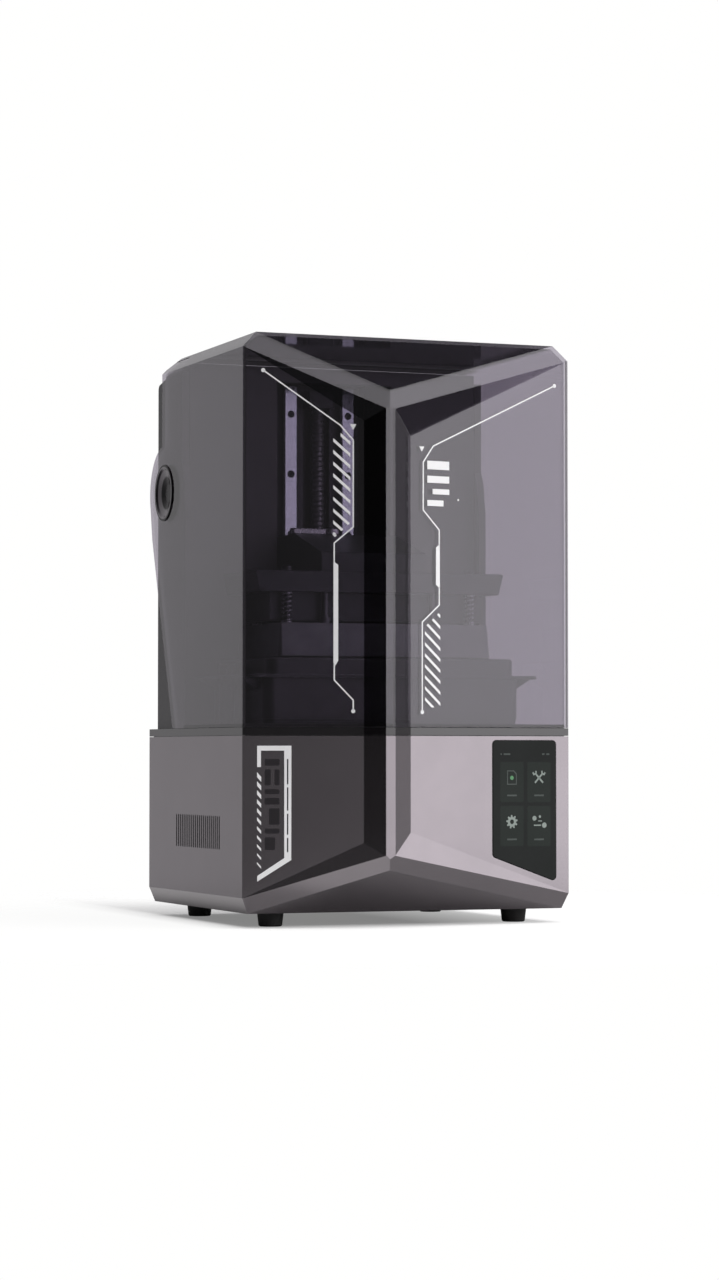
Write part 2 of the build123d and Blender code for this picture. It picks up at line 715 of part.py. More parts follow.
with BuildPart() as ball_screw:
    post(0, SCREW_Y, SCREW_BOTTOM, SCREW_TOP, SCREW_RADIUS)
    chamfer(ball_screw.edges().sort_by(Axis.Z)[-1], 0.8)
save("ball_screw", ball_screw)

with BuildPart() as screw_bearings:
    for low, high in (LOWER_BEARING, UPPER_BEARING):
        slab(-GROOVE_HALF, GROOVE_HALF, BEARING_FRONT, COLUMN_FRONT + GROOVE_DEPTH, low, high)
        post(0, SCREW_Y, low - 1, high + 1, SCREW_RADIUS + FIT, Mode.SUBTRACT)
    chamfer(screw_bearings.edges().filter_by(Axis.Z).group_by(Axis.Y)[0], 1.5)
save("screw_bearings", screw_bearings)

# forked light gate screwed to the column's edge
SENSOR_Z = 252.0
SENSOR_HEIGHT = 18.0
with BuildPart() as limit_sensor:
    slab(COLUMN_HALF, COLUMN_HALF + 11, 131, 141, SENSOR_Z, SENSOR_Z + SENSOR_HEIGHT)
    slab(COLUMN_HALF + 4, COLUMN_HALF + 8, 130, 136, SENSOR_Z + 6, SENSOR_Z + 12, Mode.SUBTRACT)
save("limit_sensor", limit_sensor)

# ---------------------------------------------------------------- moving carriage
BLOCKS = ((298.0, 328.0), (334.0, 364.0))
RAIL_GAP = 0.2
BLOCK_HALF = 13.5
NUT_HALF = 13.0
NUT_LOW = 316.0
NUT_HIGH = 342.0
with BuildPart() as rail_carriages:
    for side in SIDES:
        for low, high in BLOCKS:
            x = side * RAIL_X
            slab(x - BLOCK_HALF, x + BLOCK_HALF, CARRIAGE_REAR, COLUMN_FRONT - 3, low, high)
            slab(
                x - RAIL_WIDTH / 2 - RAIL_GAP,
                x + RAIL_WIDTH / 2 + RAIL_GAP,
                RAIL_FRONT - RAIL_GAP,
                COLUMN_FRONT,
                low - 1,
                high + 1,
                Mode.SUBTRACT,
            )
save("rail_carriages", rail_carriages)

with BuildPart() as ball_nut:
    slab(-NUT_HALF, NUT_HALF, CARRIAGE_REAR, COLUMN_FRONT + 6, NUT_LOW, NUT_HIGH)
    chamfer(ball_nut.edges().filter_by(Axis.Z).group_by(Axis.Y)[-1], 3)
    post(0, SCREW_Y, NUT_LOW - 1, NUT_HIGH + 1, SCREW_RADIUS + FIT, Mode.SUBTRACT)
save("ball_nut", ball_nut)

CARRIAGE_BOTTOM = 294.0
CARRIAGE_TOP = 372.0
with BuildPart() as carriage_plate:
    slab(-CARRIAGE_HALF, CARRIAGE_HALF, CARRIAGE_FRONT, CARRIAGE_REAR, CARRIAGE_BOTTOM, CARRIAGE_TOP)
    chamfer(carriage_plate.edges().filter_by(Axis.Y), 5)
save("carriage_plate", carriage_plate)

# ---------------------------------------------------------------- platform arm and wing
ARM_HALF = 54.0
ARM_WALL = 6.0
ARM_NOSE = -30.0
ARM_NOSE_TOP = 352.0
ARM_HOLLOW_TOP = 344.0
ARM_SLOPE_REAR = 44.0
PIN_SHANK = 3.0
PIN_HEAD = 4.6
LEVER_X = -14.0
LEVER_Y = 52.0
LEVER_LOW = ARM_TOP + 0.8
LEVER_THICK = 5.2
LEVER_PIN_TOP = LEVER_LOW + LEVER_THICK + 0.4
with BuildPart() as platform_arm:
    with BuildSketch(Plane.YZ.offset(-ARM_HALF)):
        with BuildLine():
            Polyline(
                (CARRIAGE_FRONT, 300),
                (CARRIAGE_FRONT, ARM_TOP),
                (ARM_SLOPE_REAR, ARM_TOP),
                (ARM_NOSE, ARM_NOSE_TOP),
                (ARM_NOSE, WING_TOP),
                (66, WING_TOP),
                close=True,
            )
        make_face()
    extrude(amount=2 * ARM_HALF)
    slab(
        -ARM_HALF + ARM_WALL,
        ARM_HALF - ARM_WALL,
        ARM_NOSE + ARM_WALL,
        CARRIAGE_FRONT - ARM_WALL,
        290,
        ARM_HOLLOW_TOP,
        Mode.SUBTRACT,
    )
    # headed pin that the release lever turns on
    post(LEVER_X, LEVER_Y, ARM_TOP, LEVER_PIN_TOP, PIN_SHANK)
    post(LEVER_X, LEVER_Y, LEVER_PIN_TOP, LEVER_PIN_TOP + 1.4, PIN_HEAD)
save("platform_arm", platform_arm)

WING_HALF_Y = 48.0
WING_HALF_TOP = 127.0
WING_HALF_LOW = 122.0
RIB_LOW = 286.0
with BuildPart() as platform_wing:
    with BuildSketch(Plane.XZ.offset(-WING_HALF_Y)):
        with BuildLine():
            Polyline(
                (-WING_HALF_TOP, WING_TOP),
                (WING_HALF_TOP, WING_TOP),
                (WING_HALF_LOW, WING_BOTTOM),
                (-WING_HALF_LOW, WING_BOTTOM),
                close=True,
            )
        make_face()
    extrude(amount=2 * WING_HALF_Y)
    chamfer(platform_wing.faces().sort_by(Axis.Z)[-1].edges(), 1.2)
    # hollow rib under the wing
    slab(-108, 108, -34, 34, RIB_LOW, WING_BOTTOM)
    slab(-102, 102, -28, 28, RIB_LOW - 1, WING_TOP - 7, Mode.SUBTRACT)
    for x in (-SPRING_X, SPRING_X):
        for y in (-SPRING_Y, SPRING_Y):
            post(x, y, WING_BOTTOM - 1, WING_TOP + 1, 2.6, Mode.SUBTRACT)
save("platform_wing", platform_wing)

# ---------------------------------------------------------------- build plate and levelling
GUIDE_X = 55.0
SCREW_SEAT = 270.0
with BuildPart() as build_plate:
    with BuildSketch(Plane.XY.offset(PLATE_BOTTOM)):
        RectangleRounded(2 * PLATE_HALF_X, 2 * PLATE_HALF_Y, 4)
    extrude(amount=PLATE_TOP - PLATE_BOTTOM, taper=5)
    chamfer(build_plate.faces().sort_by(Axis.Z)[0].edges(), 0.8)
    # weight-saving pocket in the top, and the pins that keep the plate square under the wing
    slab(-84, 84, -32, 32, PLATE_BOTTOM + 9, PLATE_TOP + 1, Mode.SUBTRACT)
    for x in (-GUIDE_X, GUIDE_X):
        for y in (-SPRING_Y, SPRING_Y):
            post(x, y, PLATE_TOP, WING_BOTTOM, 3.0)
            post(x, y, PLATE_TOP, PLATE_TOP + 6, 5.0)
    for x in (-SPRING_X, SPRING_X):
        for y in (-SPRING_Y, SPRING_Y):
            post(x, y, SCREW_SEAT, PLATE_TOP + 1, 2.5, Mode.SUBTRACT)
save("build_plate", build_plate)

with BuildPart() as levelling_screws:
    for x in (-SPRING_X, SPRING_X):
        for y in (-SPRING_Y, SPRING_Y):
            post(x, y, SCREW_SEAT, WING_TOP, 2.5)
            post(x, y, WING_TOP, WING_TOP + 4, 4.8)
    with BuildSketch(Plane.XY.offset(WING_TOP + 4)):
        with GridLocations(2 * SPRING_X, 2 * SPRING_Y, 2, 2):
            RegularPolygon(2.4, 6)
    extrude(amount=-2.5, mode=Mode.SUBTRACT)
save("levelling_screws", levelling_screws)

with BuildPart() as levelling_springs:
    for x in (-SPRING_X, SPRING_X):
        for y in (-SPRING_Y, SPRING_Y):
            post(x, y, PLATE_TOP, WING_BOTTOM, 5.2)
            post(x, y, PLATE_TOP - 1, WING_BOTTOM + 1, 3.6, Mode.SUBTRACT)
save("levelling_springs", levelling_springs)

# ---------------------------------------------------------------- quick-release lever
LEVER_REACH = 38.0
LEVER_TIP = 4.0
with BuildPart() as release_lever:
    with BuildSketch(Plane.XY.offset(LEVER_LOW)):
        with Locations((LEVER_X, LEVER_Y)):
            Circle(9)
        with BuildLine():
            Polyline(
                (LEVER_X, LEVER_Y + 6),
                (LEVER_X - LEVER_REACH, LEVER_Y + LEVER_TIP),
                (LEVER_X - LEVER_REACH, LEVER_Y - LEVER_TIP),
                (LEVER_X, LEVER_Y - 6),
                close=True,
            )
        make_face()
        with Locations((LEVER_X - LEVER_REACH, LEVER_Y)):
            Circle(LEVER_TIP)
    extrude(amount=LEVER_THICK)
    chamfer(release_lever.faces().sort_by(Axis.Z)[-1].edges(), 0.8)
    post(LEVER_X, LEVER_Y, LEVER_LOW - 1, LEVER_LOW + 6, PIN_SHANK + FIT, Mode.SUBTRACT)
save("release_lever", release_lever)

# ---------------------------------------------------------------- tilting stage
LIGHT_HALF_X = 105.0
LIGHT_HALF_Y = 56.0
SCREEN_HALF_X = 110.0
SCREEN_HALF_Y = 60.0
SCREEN_BOTTOM = 184.0
TILT_PIN = 3.0
LUG_FRONT = (STAGE_FRONT, -74.0)
LUG_REAR = (64.0, STAGE_REAR)
POST_RADIUS = 7.0
STEM_RADIUS = 4.0
FLANGE_LOW = 231.0
FLANGE_HIGH = 234.0

with BuildPart() as tilt_stage:
    with BuildSketch(Plane.XY.offset(STAGE_BOTTOM)):
        with Locations((0, (STAGE_FRONT + STAGE_REAR) / 2)):
            RectangleRounded(2 * STAGE_HALF, STAGE_REAR - STAGE_FRONT, 2)
        with Locations((0, VAT_Y)):
            RectangleRounded(2 * (EAR_HALF - 2), 32, 3)
        Rectangle(2 * LIGHT_HALF_X, 2 * LIGHT_HALF_Y, mode=Mode.SUBTRACT)
    extrude(amount=STAGE_TOP - STAGE_BOTTOM)
    slab(
        -SCREEN_HALF_X - 0.2,
        SCREEN_HALF_X + 0.2,
        -SCREEN_HALF_Y - 0.2,
        SCREEN_HALF_Y + 0.2,
        SCREEN_BOTTOM,
        STAGE_TOP + 1,
        Mode.SUBTRACT,
    )
    for front, rear in (LUG_FRONT, LUG_REAR):
        slab(TILT_X - 5, TILT_X + 5, front, rear, TILT_Z - 5, STAGE_BOTTOM + 1)
        rod_y(TILT_X, TILT_Z, front - 1, rear + 1, TILT_PIN + FIT, Mode.SUBTRACT)
    # tapped posts that carry the vat's flange and take its two clamp screws
    for side in SIDES:
        post(side * CLAMP_X, VAT_Y, STAGE_TOP, FLANGE_LOW, POST_RADIUS)
        post(side * CLAMP_X, VAT_Y, 200, FLANGE_LOW + 1, STEM_RADIUS + FIT, Mode.SUBTRACT)
save("tilt_stage", tilt_stage)

with BuildPart() as lcd_panel:
    slab(-SCREEN_HALF_X, SCREEN_HALF_X, -SCREEN_HALF_Y, SCREEN_HALF_Y, SCREEN_BOTTOM, SCREEN_TOP)
save("lcd_panel", lcd_panel)

BRACKET_FRONT = (-99.0, -88.5)
BRACKET_REAR = (78.5, 89.0)
with BuildPart() as tilt_brackets:
    for front, rear in (BRACKET_FRONT, BRACKET_REAR):
        slab(TILT_X - 8, TILT_X + 8, front, rear, TILT_Z - 7, DECK_UNDER)
        rod_y(TILT_X, TILT_Z, front - 1, rear + 1, TILT_PIN, Mode.SUBTRACT)
save("tilt_brackets", tilt_brackets)

with BuildPart() as tilt_pins:
    rod_y(TILT_X, TILT_Z, BRACKET_FRONT[0], LUG_FRONT[1], TILT_PIN)
    rod_y(TILT_X, TILT_Z, LUG_REAR[0], BRACKET_REAR[1], TILT_PIN)
save("tilt_pins", tilt_pins)

# ---------------------------------------------------------------- vat
VAT_HALF_X = 129.0
VAT_HALF_Y = 78.0
VAT_IN_X = 119.0
VAT_IN_Y = 70.0
RIM_HALF_X = 125.0
RIM_HALF_Y = 76.0
FLANGE_HALF_X = 149.0
FLANGE_FRONT = -86.0
FLANGE_REAR = 76.0
VAT_TOP = 250.0
RING_BOTTOM = 188.1
RING_TOP = 192.1
RING_IN_X = 117.0
RING_IN_Y = 68.0
GUSSET_LOW = 219.0

with BuildPart() as vat_frame:
    with BuildSketch(Plane.XY.offset(RING_TOP)):
        with Locations((0, VAT_Y)):
            RectangleRounded(2 * VAT_HALF_X, 2 * VAT_HALF_Y, 10)
    extrude(amount=FLANGE_LOW - RING_TOP)
    with BuildSketch(Plane.XY.offset(FLANGE_LOW)):
        with Locations((0, (FLANGE_FRONT + FLANGE_REAR) / 2)):
            RectangleRounded(2 * FLANGE_HALF_X, FLANGE_REAR - FLANGE_FRONT, 12)
    extrude(amount=FLANGE_HIGH - FLANGE_LOW)
    # gussets that slope from the body out to the flange, left and right
    with BuildSketch(Plane.XZ.offset(-55)):
        with BuildLine():
            Polyline(
                (-VAT_HALF_X, GUSSET_LOW),
                (-FLANGE_HALF_X + 1, FLANGE_LOW),
                (FLANGE_HALF_X - 1, FLANGE_LOW),
                (VAT_HALF_X, GUSSET_LOW),
                close=True,
            )
        make_face()
    extrude(amount=118)
    with BuildSketch(Plane.XY.offset(FLANGE_HIGH)):
        with Locations((0, VAT_Y)):
            RectangleRounded(2 * RIM_HALF_X, 2 * RIM_HALF_Y, 10)
    extrude(amount=VAT_TOP - FLANGE_HIGH)
    chamfer(vat_frame.faces().sort_by(Axis.Z)[-1].edges(), 1.5)
    with BuildSketch(Plane.XY.offset(VAT_TOP + 1)):
        with Locations((0, VAT_Y)):
            RectangleRounded(2 * VAT_IN_X, 2 * VAT_IN_Y, 8)
    extrude(amount=RING_TOP - VAT_TOP - 2, mode=Mode.SUBTRACT)
    for side in SIDES:
        # room for the clamp posts, and the clamp screws' holes
        ends = sorted((side * (VAT_HALF_X + 1), side * (FLANGE_HALF_X + 1)))
        slab(ends[0], ends[1], VAT_Y - 9, VAT_Y + 9, 210, FLANGE_LOW, Mode.SUBTRACT)
        post(side * CLAMP_X, VAT_Y, FLANGE_LOW - 1, FLANGE_HIGH + 1, 4.5, Mode.SUBTRACT)
save("vat_frame", vat_frame)

with BuildPart() as film_ring:
    with BuildSketch(Plane.XY.offset(RING_BOTTOM)):
        with Locations((0, VAT_Y)):
            RectangleRounded(2 * (VAT_HALF_X - 1), 2 * (VAT_HALF_Y - 1), 9)
            RectangleRounded(2 * RING_IN_X, 2 * RING_IN_Y, 6, mode=Mode.SUBTRACT)
    extrude(amount=RING_TOP - RING_BOTTOM)
save("film_ring", film_ring)

with BuildPart() as vat_film:
    with BuildSketch(Plane.XY.offset(SCREEN_TOP + 0.2)):
        with Locations((0, VAT_Y)):
            RectangleRounded(2 * RING_IN_X, 2 * RING_IN_Y, 6)
    extrude(amount=0.5)
save("vat_film", vat_film)

# ---------------------------------------------------------------- vat clamps
KNOB_RADIUS = 8.5
KNOB_HEIGHT = 11.0
KNOB_FLUTES = 10
for side, name in ((LEFT, "clamp_knob_left"), (RIGHT, "clamp_knob_right")):
    with BuildPart() as clamp_knob:
        post(side * CLAMP_X, VAT_Y, 204, FLANGE_HIGH, STEM_RADIUS)
        with BuildSketch(Plane.XY.offset(FLANGE_HIGH + 0.1)):
            with Locations((side * CLAMP_X, VAT_Y)):
                Circle(KNOB_RADIUS)
                with PolarLocations(KNOB_RADIUS + 0.7, KNOB_FLUTES):
                    Circle(1.5, mode=Mode.SUBTRACT)
        extrude(amount=KNOB_HEIGHT)
        chamfer(clamp_knob.faces().sort_by(Axis.Z)[-1].edges(), 0.7)
        post(side * CLAMP_X, VAT_Y, FLANGE_HIGH - 1, FLANGE_HIGH + 1, STEM_RADIUS)
    save(name, clamp_knob)

# ---------------------------------------------------------------- tilt lift
LIFT_RADIUS = 4.0
LIFT_GAP = 0.5
LIFT_BODY = (100.0, 148.0)
with BuildPart() as tilt_actuator:
    slab(LIFT_X - 11, LIFT_X + 14, VAT_Y - 16, VAT_Y + 16, *LIFT_BODY)
    chamfer(tilt_actuator.edges().filter_by(Axis.Z), 2)
    # pressed-steel stand down to the floor plate
    slab(LIFT_X + 11, LIFT_X + 14, VAT_Y - 14, VAT_Y + 14, FLOOR_TOP, LIFT_BODY[0])
    slab(LIFT_X - 4, LIFT_X + 14, VAT_Y - 14, VAT_Y + 14, FLOOR_TOP, FLOOR_TOP + 3)
    post(LIFT_X, VAT_Y, LIFT_BODY[0] + 8, LIFT_BODY[1] + 1, LIFT_RADIUS + FIT, Mode.SUBTRACT)
save("tilt_actuator", tilt_actuator)

with BuildPart() as tilt_rod:
    post(LIFT_X, VAT_Y, 126, STAGE_BOTTOM - LIFT_GAP, LIFT_RADIUS)
    chamfer(tilt_rod.edges().sort_by(Axis.Z)[-1], 1.2)
save("tilt_rod", tilt_rod)

# ---------------------------------------------------------------- light source
HOOD_BOTTOM = 72.0
HOOD_TOP = 160.0
HOOD_WALL = 2.0
BOARD = (70.0, 72.0)
LENS_TOP = 82.0
STANDOFF_X = 98.0
STANDOFF_Y = 60.0
LED_GRID = (21.0, 21.0, 9, 5)

with BuildPart() as light_hood:
    with BuildSketch(Plane.XY.offset(HOOD_BOTTOM)):
        Rectangle(204, 116)
    with BuildSketch(Plane.XY.offset(HOOD_TOP)):
        Rectangle(220, 122)
    loft()
    offset(amount=-HOOD_WALL, openings=light_hood.faces().filter_by(Axis.Z))
save("light_hood", light_hood)

with BuildPart() as lens_array:
    slab(-98, 98, -54, 54, BOARD[1] + 4, LENS_TOP)
    with BuildSketch(Plane.XY.offset(LENS_TOP)):
        with GridLocations(*LED_GRID):
            Circle(8)
    extrude(amount=3, taper=25)
save("lens_array", lens_array)

with BuildPart() as led_board:
    slab(-104, 104, -66, 66, *BOARD)
    with BuildSketch(Plane.XY.offset(BOARD[1])):
        with GridLocations(*LED_GRID):
            Rectangle(3.5, 3.5)
    extrude(amount=1.5)
save("led_board", led_board)

with BuildPart() as light_standoffs:
    for x in (-STANDOFF_X, STANDOFF_X):
        for y in (-STANDOFF_Y, STANDOFF_Y):
            post(x, y, FLOOR_TOP, BOARD[0], 4)
save("light_standoffs", light_standoffs)

FINS = 21
FIN_PITCH = 8.2
FIN_THICK = 2.0
FIN_HEIGHT = 22.0
SINK_BASE = 6.0
SINK_HALF_Y = 50.0
with BuildPart() as heat_sink:
    slab(-86, 86, -SINK_HALF_Y, SINK_HALF_Y, BOARD[0] - SINK_BASE, BOARD[0])
    with BuildSketch(Plane.XY.offset(BOARD[0] - SINK_BASE)):
        with GridLocations(FIN_PITCH, 0, FINS, 1):
            Rectangle(FIN_THICK, 2 * SINK_HALF_Y)
    extrude(amount=-FIN_HEIGHT)
save("heat_sink", heat_sink)

# ---------------------------------------------------------------- exhaust fan
FAN_DEPTH = (146.6, 161.6)
FAN_SIZE = 60.0
with BuildPart() as fan_frame:
    with BuildSketch(Plane.XZ.offset(-FAN_DEPTH[1])):
        with Locations((FAN_X, FAN_Z)):
            RectangleRounded(FAN_SIZE, FAN_SIZE, 4)
            Circle(FAN_SIZE / 2 - 2, mode=Mode.SUBTRACT)
            with GridLocations(50, 50, 2, 2):
                Circle(2.2, mode=Mode.SUBTRACT)
    extrude(amount=FAN_DEPTH[1] - FAN_DEPTH[0])
    # rear spider that carries the motor
    with BuildSketch(Plane.XZ.offset(-FAN_DEPTH[1])):
        with Locations((FAN_X, FAN_Z)):
            Circle(12)
            Rectangle(57, 3)
            Rectangle(3, 57)
    extrude(amount=2)
    rod_y(FAN_X, FAN_Z, FAN_DEPTH[0] + 4, FAN_DEPTH[1] - 1, 2.0)
save("fan_frame", fan_frame)

FAN_BLADES = 7
with BuildPart() as fan_rotor:
    rod_y(FAN_X, FAN_Z, FAN_DEPTH[0] + 2, FAN_DEPTH[1] - 2.6, 11)
    for i in range(FAN_BLADES):
        turn = 360 / FAN_BLADES * i
        blade_plane = Plane(
            origin=(FAN_X, (FAN_DEPTH[0] + FAN_DEPTH[1]) / 2, FAN_Z),
            x_dir=(-sin(radians(turn)), 0, cos(radians(turn))),
            z_dir=(cos(radians(turn)), 0, sin(radians(turn))),
        )
        with BuildSketch(blade_plane.offset(10.5)):
            Rectangle(1.4, 9, rotation=38)
        extrude(amount=15.8)
    rod_y(FAN_X, FAN_Z, FAN_DEPTH[0] + 3.9, FAN_DEPTH[1], 2 + FIT, Mode.SUBTRACT)
save("fan_rotor", fan_rotor)

# ---------------------------------------------------------------- electronics
BOARD_LOW = 26.0
BOARD_HIGH = 28.0
CHIPS = [
    # x low, x high, y low, y high, height: processor, motor driver, connector
    (-120, -92, 86, 114, 3.0),
    (-84, -70, 90, 104, 2.5),
    (-64, -46, 74, 82, 8.0),
]
CAPACITOR_X = (-80, -100)
with BuildPart() as mainboard:
    slab(-148, -40, 67, 142, BOARD_LOW, BOARD_HIGH)
    for x in (-143, -46):
        for y in (72, 136):
            post(x, y, FLOOR_TOP, BOARD_LOW, 3)
    for x_low, x_high, y_low, y_high, height in CHIPS:
        slab(x_low, x_high, y_low, y_high, BOARD_HIGH, BOARD_HIGH + height)
    for x in CAPACITOR_X:
        post(x, 128, BOARD_HIGH, BOARD_HIGH + 10, 5)
save("mainboard", mainboard)

with BuildPart() as touchscreen_glass:
    with BuildSketch(RIGHT_PANEL.offset(GLASS_PROUD)):
        add(screen_outline(0, 4))
    extrude(amount=-GLASS_PROUD - GLASS_DEPTH)
    chamfer(touchscreen_glass.faces().sort_by(Axis(panel_start, panel_normal))[-1].edges(), 0.4)
save("touchscreen_glass", touchscreen_glass)

with BuildPart() as touchscreen_module:
    with BuildSketch(RIGHT_PANEL.offset(-GLASS_DEPTH)):
        add(screen_outline(0.6, 3.4))
    extrude(amount=-7)
save("touchscreen_module", touchscreen_module)

# steel shell, the hole in it and the tongue that carries the contacts
USB_HALF = 7.0
USB_HALF_HEIGHT = 3.3
USB_WALL = 0.8
USB_REAR = HALF_WIDTH - 17
USB_DEPTH = 14.0
with BuildPart() as usb_port:
    slab(
        USB_REAR,
        HALF_WIDTH - 0.6,
        USB_Y - USB_HALF,
        USB_Y + USB_HALF,
        USB_Z - USB_HALF_HEIGHT,
        USB_Z + USB_HALF_HEIGHT,
    )
    slab(
        HALF_WIDTH - USB_DEPTH,
        HALF_WIDTH,
        USB_Y - USB_HALF + USB_WALL,
        USB_Y + USB_HALF - USB_WALL,
        USB_Z - USB_HALF_HEIGHT + USB_WALL,
        USB_Z + USB_HALF_HEIGHT - USB_WALL,
        Mode.SUBTRACT,
    )
    slab(
        HALF_WIDTH - USB_DEPTH,
        HALF_WIDTH - 2,
        USB_Y - USB_HALF + USB_WALL + 1,
        USB_Y + USB_HALF - USB_WALL - 1,
        USB_Z + 0.2,
        USB_Z + USB_HALF_HEIGHT - USB_WALL,
    )
save("usb_port", usb_port)

# ---------------------------------------------------------------- rear sockets
ROCKER_X = 72.0
ROCKER_Y = 157.0
ROCKER_PIN = 1.5
JACK_X = 112.0
JACK_RADIUS = 6.4
JACK_BODY = 8.0
PANEL_BACK = REAR_Y - 0.2
with BuildPart() as io_panel:
    with BuildSketch(Plane.XZ.offset(-PANEL_BACK)):
        with Locations((IO_X, IO_Z)):
            RectangleRounded(IO_WIDTH - 0.4, IO_HEIGHT - 0.4, 2.8)
        with Locations((ROCKER_X, IO_Z)):
            Rectangle(27, 21.4, mode=Mode.SUBTRACT)
        with Locations((JACK_X, IO_Z)):
            Circle(JACK_BODY + 0.1, mode=Mode.SUBTRACT)
    extrude(amount=2.0)
save("io_panel", io_panel)

with BuildPart() as rocker_bezel:
    slab(ROCKER_X - 13.5, ROCKER_X + 13.5, 148, PANEL_BACK, IO_Z - 10.7, IO_Z + 10.7)
    slab(ROCKER_X - 10.2, ROCKER_X + 10.2, 150, REAR_Y + 1, IO_Z - 9.2, IO_Z + 9.2, Mode.SUBTRACT)
    rod_x(ROCKER_Y, IO_Z, ROCKER_X - 13, ROCKER_X + 13, ROCKER_PIN)
save("rocker_bezel", rocker_bezel)

# the rocker rests in its off position, turned back from the middle of its throw
ROCKER_REST = -8.0
rocker_plane = Plane(
    origin=(ROCKER_X - 9.6, ROCKER_Y, IO_Z),
    x_dir=(0, cos(radians(ROCKER_REST)), sin(radians(ROCKER_REST))),
    z_dir=(1, 0, 0),
)
with BuildPart() as power_rocker:
    with BuildSketch(rocker_plane):
        with BuildLine():
            Polyline((6.2, 8), (4.8, 0), (6.2, -8), (-3.2, -5), (-3.2, 5), close=True)
        make_face()
    extrude(amount=19.2)
    rod_x(ROCKER_Y, IO_Z, ROCKER_X - 14, ROCKER_X + 14, ROCKER_PIN + FIT, Mode.SUBTRACT)
save("power_rocker", power_rocker)

with BuildPart() as dc_jack:
    rod_y(JACK_X, IO_Z, 150, PANEL_BACK, JACK_BODY)
    rod_y(JACK_X, IO_Z, 153, PANEL_BACK + 1, JACK_RADIUS, Mode.SUBTRACT)
    rod_y(JACK_X, IO_Z, 152, PANEL_BACK - 1.5, 1.0)
save("dc_jack", dc_jack)
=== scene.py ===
"""Looks of a desktop resin printer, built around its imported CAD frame."""
import json
import math

import bmesh
import bpy
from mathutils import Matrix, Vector


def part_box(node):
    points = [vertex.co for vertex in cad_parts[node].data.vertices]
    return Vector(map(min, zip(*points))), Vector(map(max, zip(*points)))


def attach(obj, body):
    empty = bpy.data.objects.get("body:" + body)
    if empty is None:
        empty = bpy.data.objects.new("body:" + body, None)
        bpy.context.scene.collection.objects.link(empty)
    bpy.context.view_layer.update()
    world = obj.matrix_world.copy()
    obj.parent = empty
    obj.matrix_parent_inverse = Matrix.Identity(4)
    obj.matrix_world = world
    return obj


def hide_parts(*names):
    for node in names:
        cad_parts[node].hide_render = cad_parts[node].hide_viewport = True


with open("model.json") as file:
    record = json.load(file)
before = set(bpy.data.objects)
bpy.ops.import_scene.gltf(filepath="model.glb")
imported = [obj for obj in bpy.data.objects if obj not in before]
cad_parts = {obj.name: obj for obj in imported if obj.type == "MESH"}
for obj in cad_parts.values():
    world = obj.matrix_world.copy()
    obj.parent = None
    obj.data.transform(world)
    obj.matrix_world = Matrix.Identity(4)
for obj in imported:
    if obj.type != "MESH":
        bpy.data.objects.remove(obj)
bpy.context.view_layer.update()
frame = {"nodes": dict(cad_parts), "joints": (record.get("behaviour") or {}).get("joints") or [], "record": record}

MM = 0.001               # a millimetre in metres
NODES = frame["nodes"]
SLOT_OF = {part["node"]: part["material_slot"] for part in frame["record"]["subparts"]}
BLACK = (0, 0, 0, 1)

# places on the body, in millimetres
HALF_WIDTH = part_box("base_shell")[1].x / MM
CORNER_Y = -117.3        # where the side walls meet the front panels
PANEL_Y = -148.6         # the front panels' inner edges, beside the spine
LEFT_INNER_X = -56.75    # the same edges' places across the front
RIGHT_INNER_X = -10.42
ROOF_INSIDE = 545.0      # the underside of the lid's roof
TOWER_Y = (72.0, 75.0)   # where the roof's dark part above the tower sets in


# ---------------------------------------------------------------- shader helpers
def add_node(tree, kind, inputs=None, **settings):
    """A shader node with its inputs set to numbers or linked to sockets."""
    made = tree.nodes.new(kind)
    for key, value in settings.items():
        setattr(made, key, value)
    for key, value in (inputs or {}).items():
        if isinstance(value, bpy.types.NodeSocket):
            tree.links.new(value, made.inputs[key])
        else:
            made.inputs[key].default_value = value
    return made


def math_node(tree, operation, *values):
    made = add_node(tree, "ShaderNodeMath", dict(enumerate(values)), operation=operation)
    return made.outputs[0]


def remap(tree, value, from_low, from_high, to_low, to_high):
    made = add_node(tree, "ShaderNodeMapRange", {
        "Value": value, "From Min": from_low, "From Max": from_high,
        "To Min": to_low, "To Max": to_high})
    return made.outputs[0]


def blend_colour(tree, factor, first, second):
    made = add_node(tree, "ShaderNodeMix", {0: factor, 6: first, 7: second}, data_type="RGBA")
    return made.outputs[2]


def noise(tree, point, scale, detail=2.0, rough=0.5):
    made = add_node(tree, "ShaderNodeTexNoise", {
        "Vector": point, "Scale": scale, "Detail": detail, "Roughness": rough})
    return made.outputs["Fac"]


def rgba(colour):
    return (*colour, 1.0)


def new_material(name):
    made = bpy.data.materials.new(name)
    made.use_nodes = True
    made.node_tree.nodes.clear()
    return made, made.node_tree


def object_point(tree, stretch=(1, 1, 1)):
    """The point on the piece in metres, stretched for a brushed grain."""
    where = add_node(tree, "ShaderNodeTexCoord")
    spread = add_node(tree, "ShaderNodeMapping", {
        "Vector": where.outputs["Object"], "Scale": stretch})
    return spread.outputs["Vector"]


NOISE_RANGE = (0.3, 0.7)     # where nearly all of a noise's values lie
WORN_LEAN = (0.995, 0.93)    # softened normal dot face normal, where wear sets in and is full
PATCH_SCALE = 160.0          # the noise scale of the worn patches
PATCH_RANGE = (0.42, 0.62)   # the noise's values between which a patch sets in


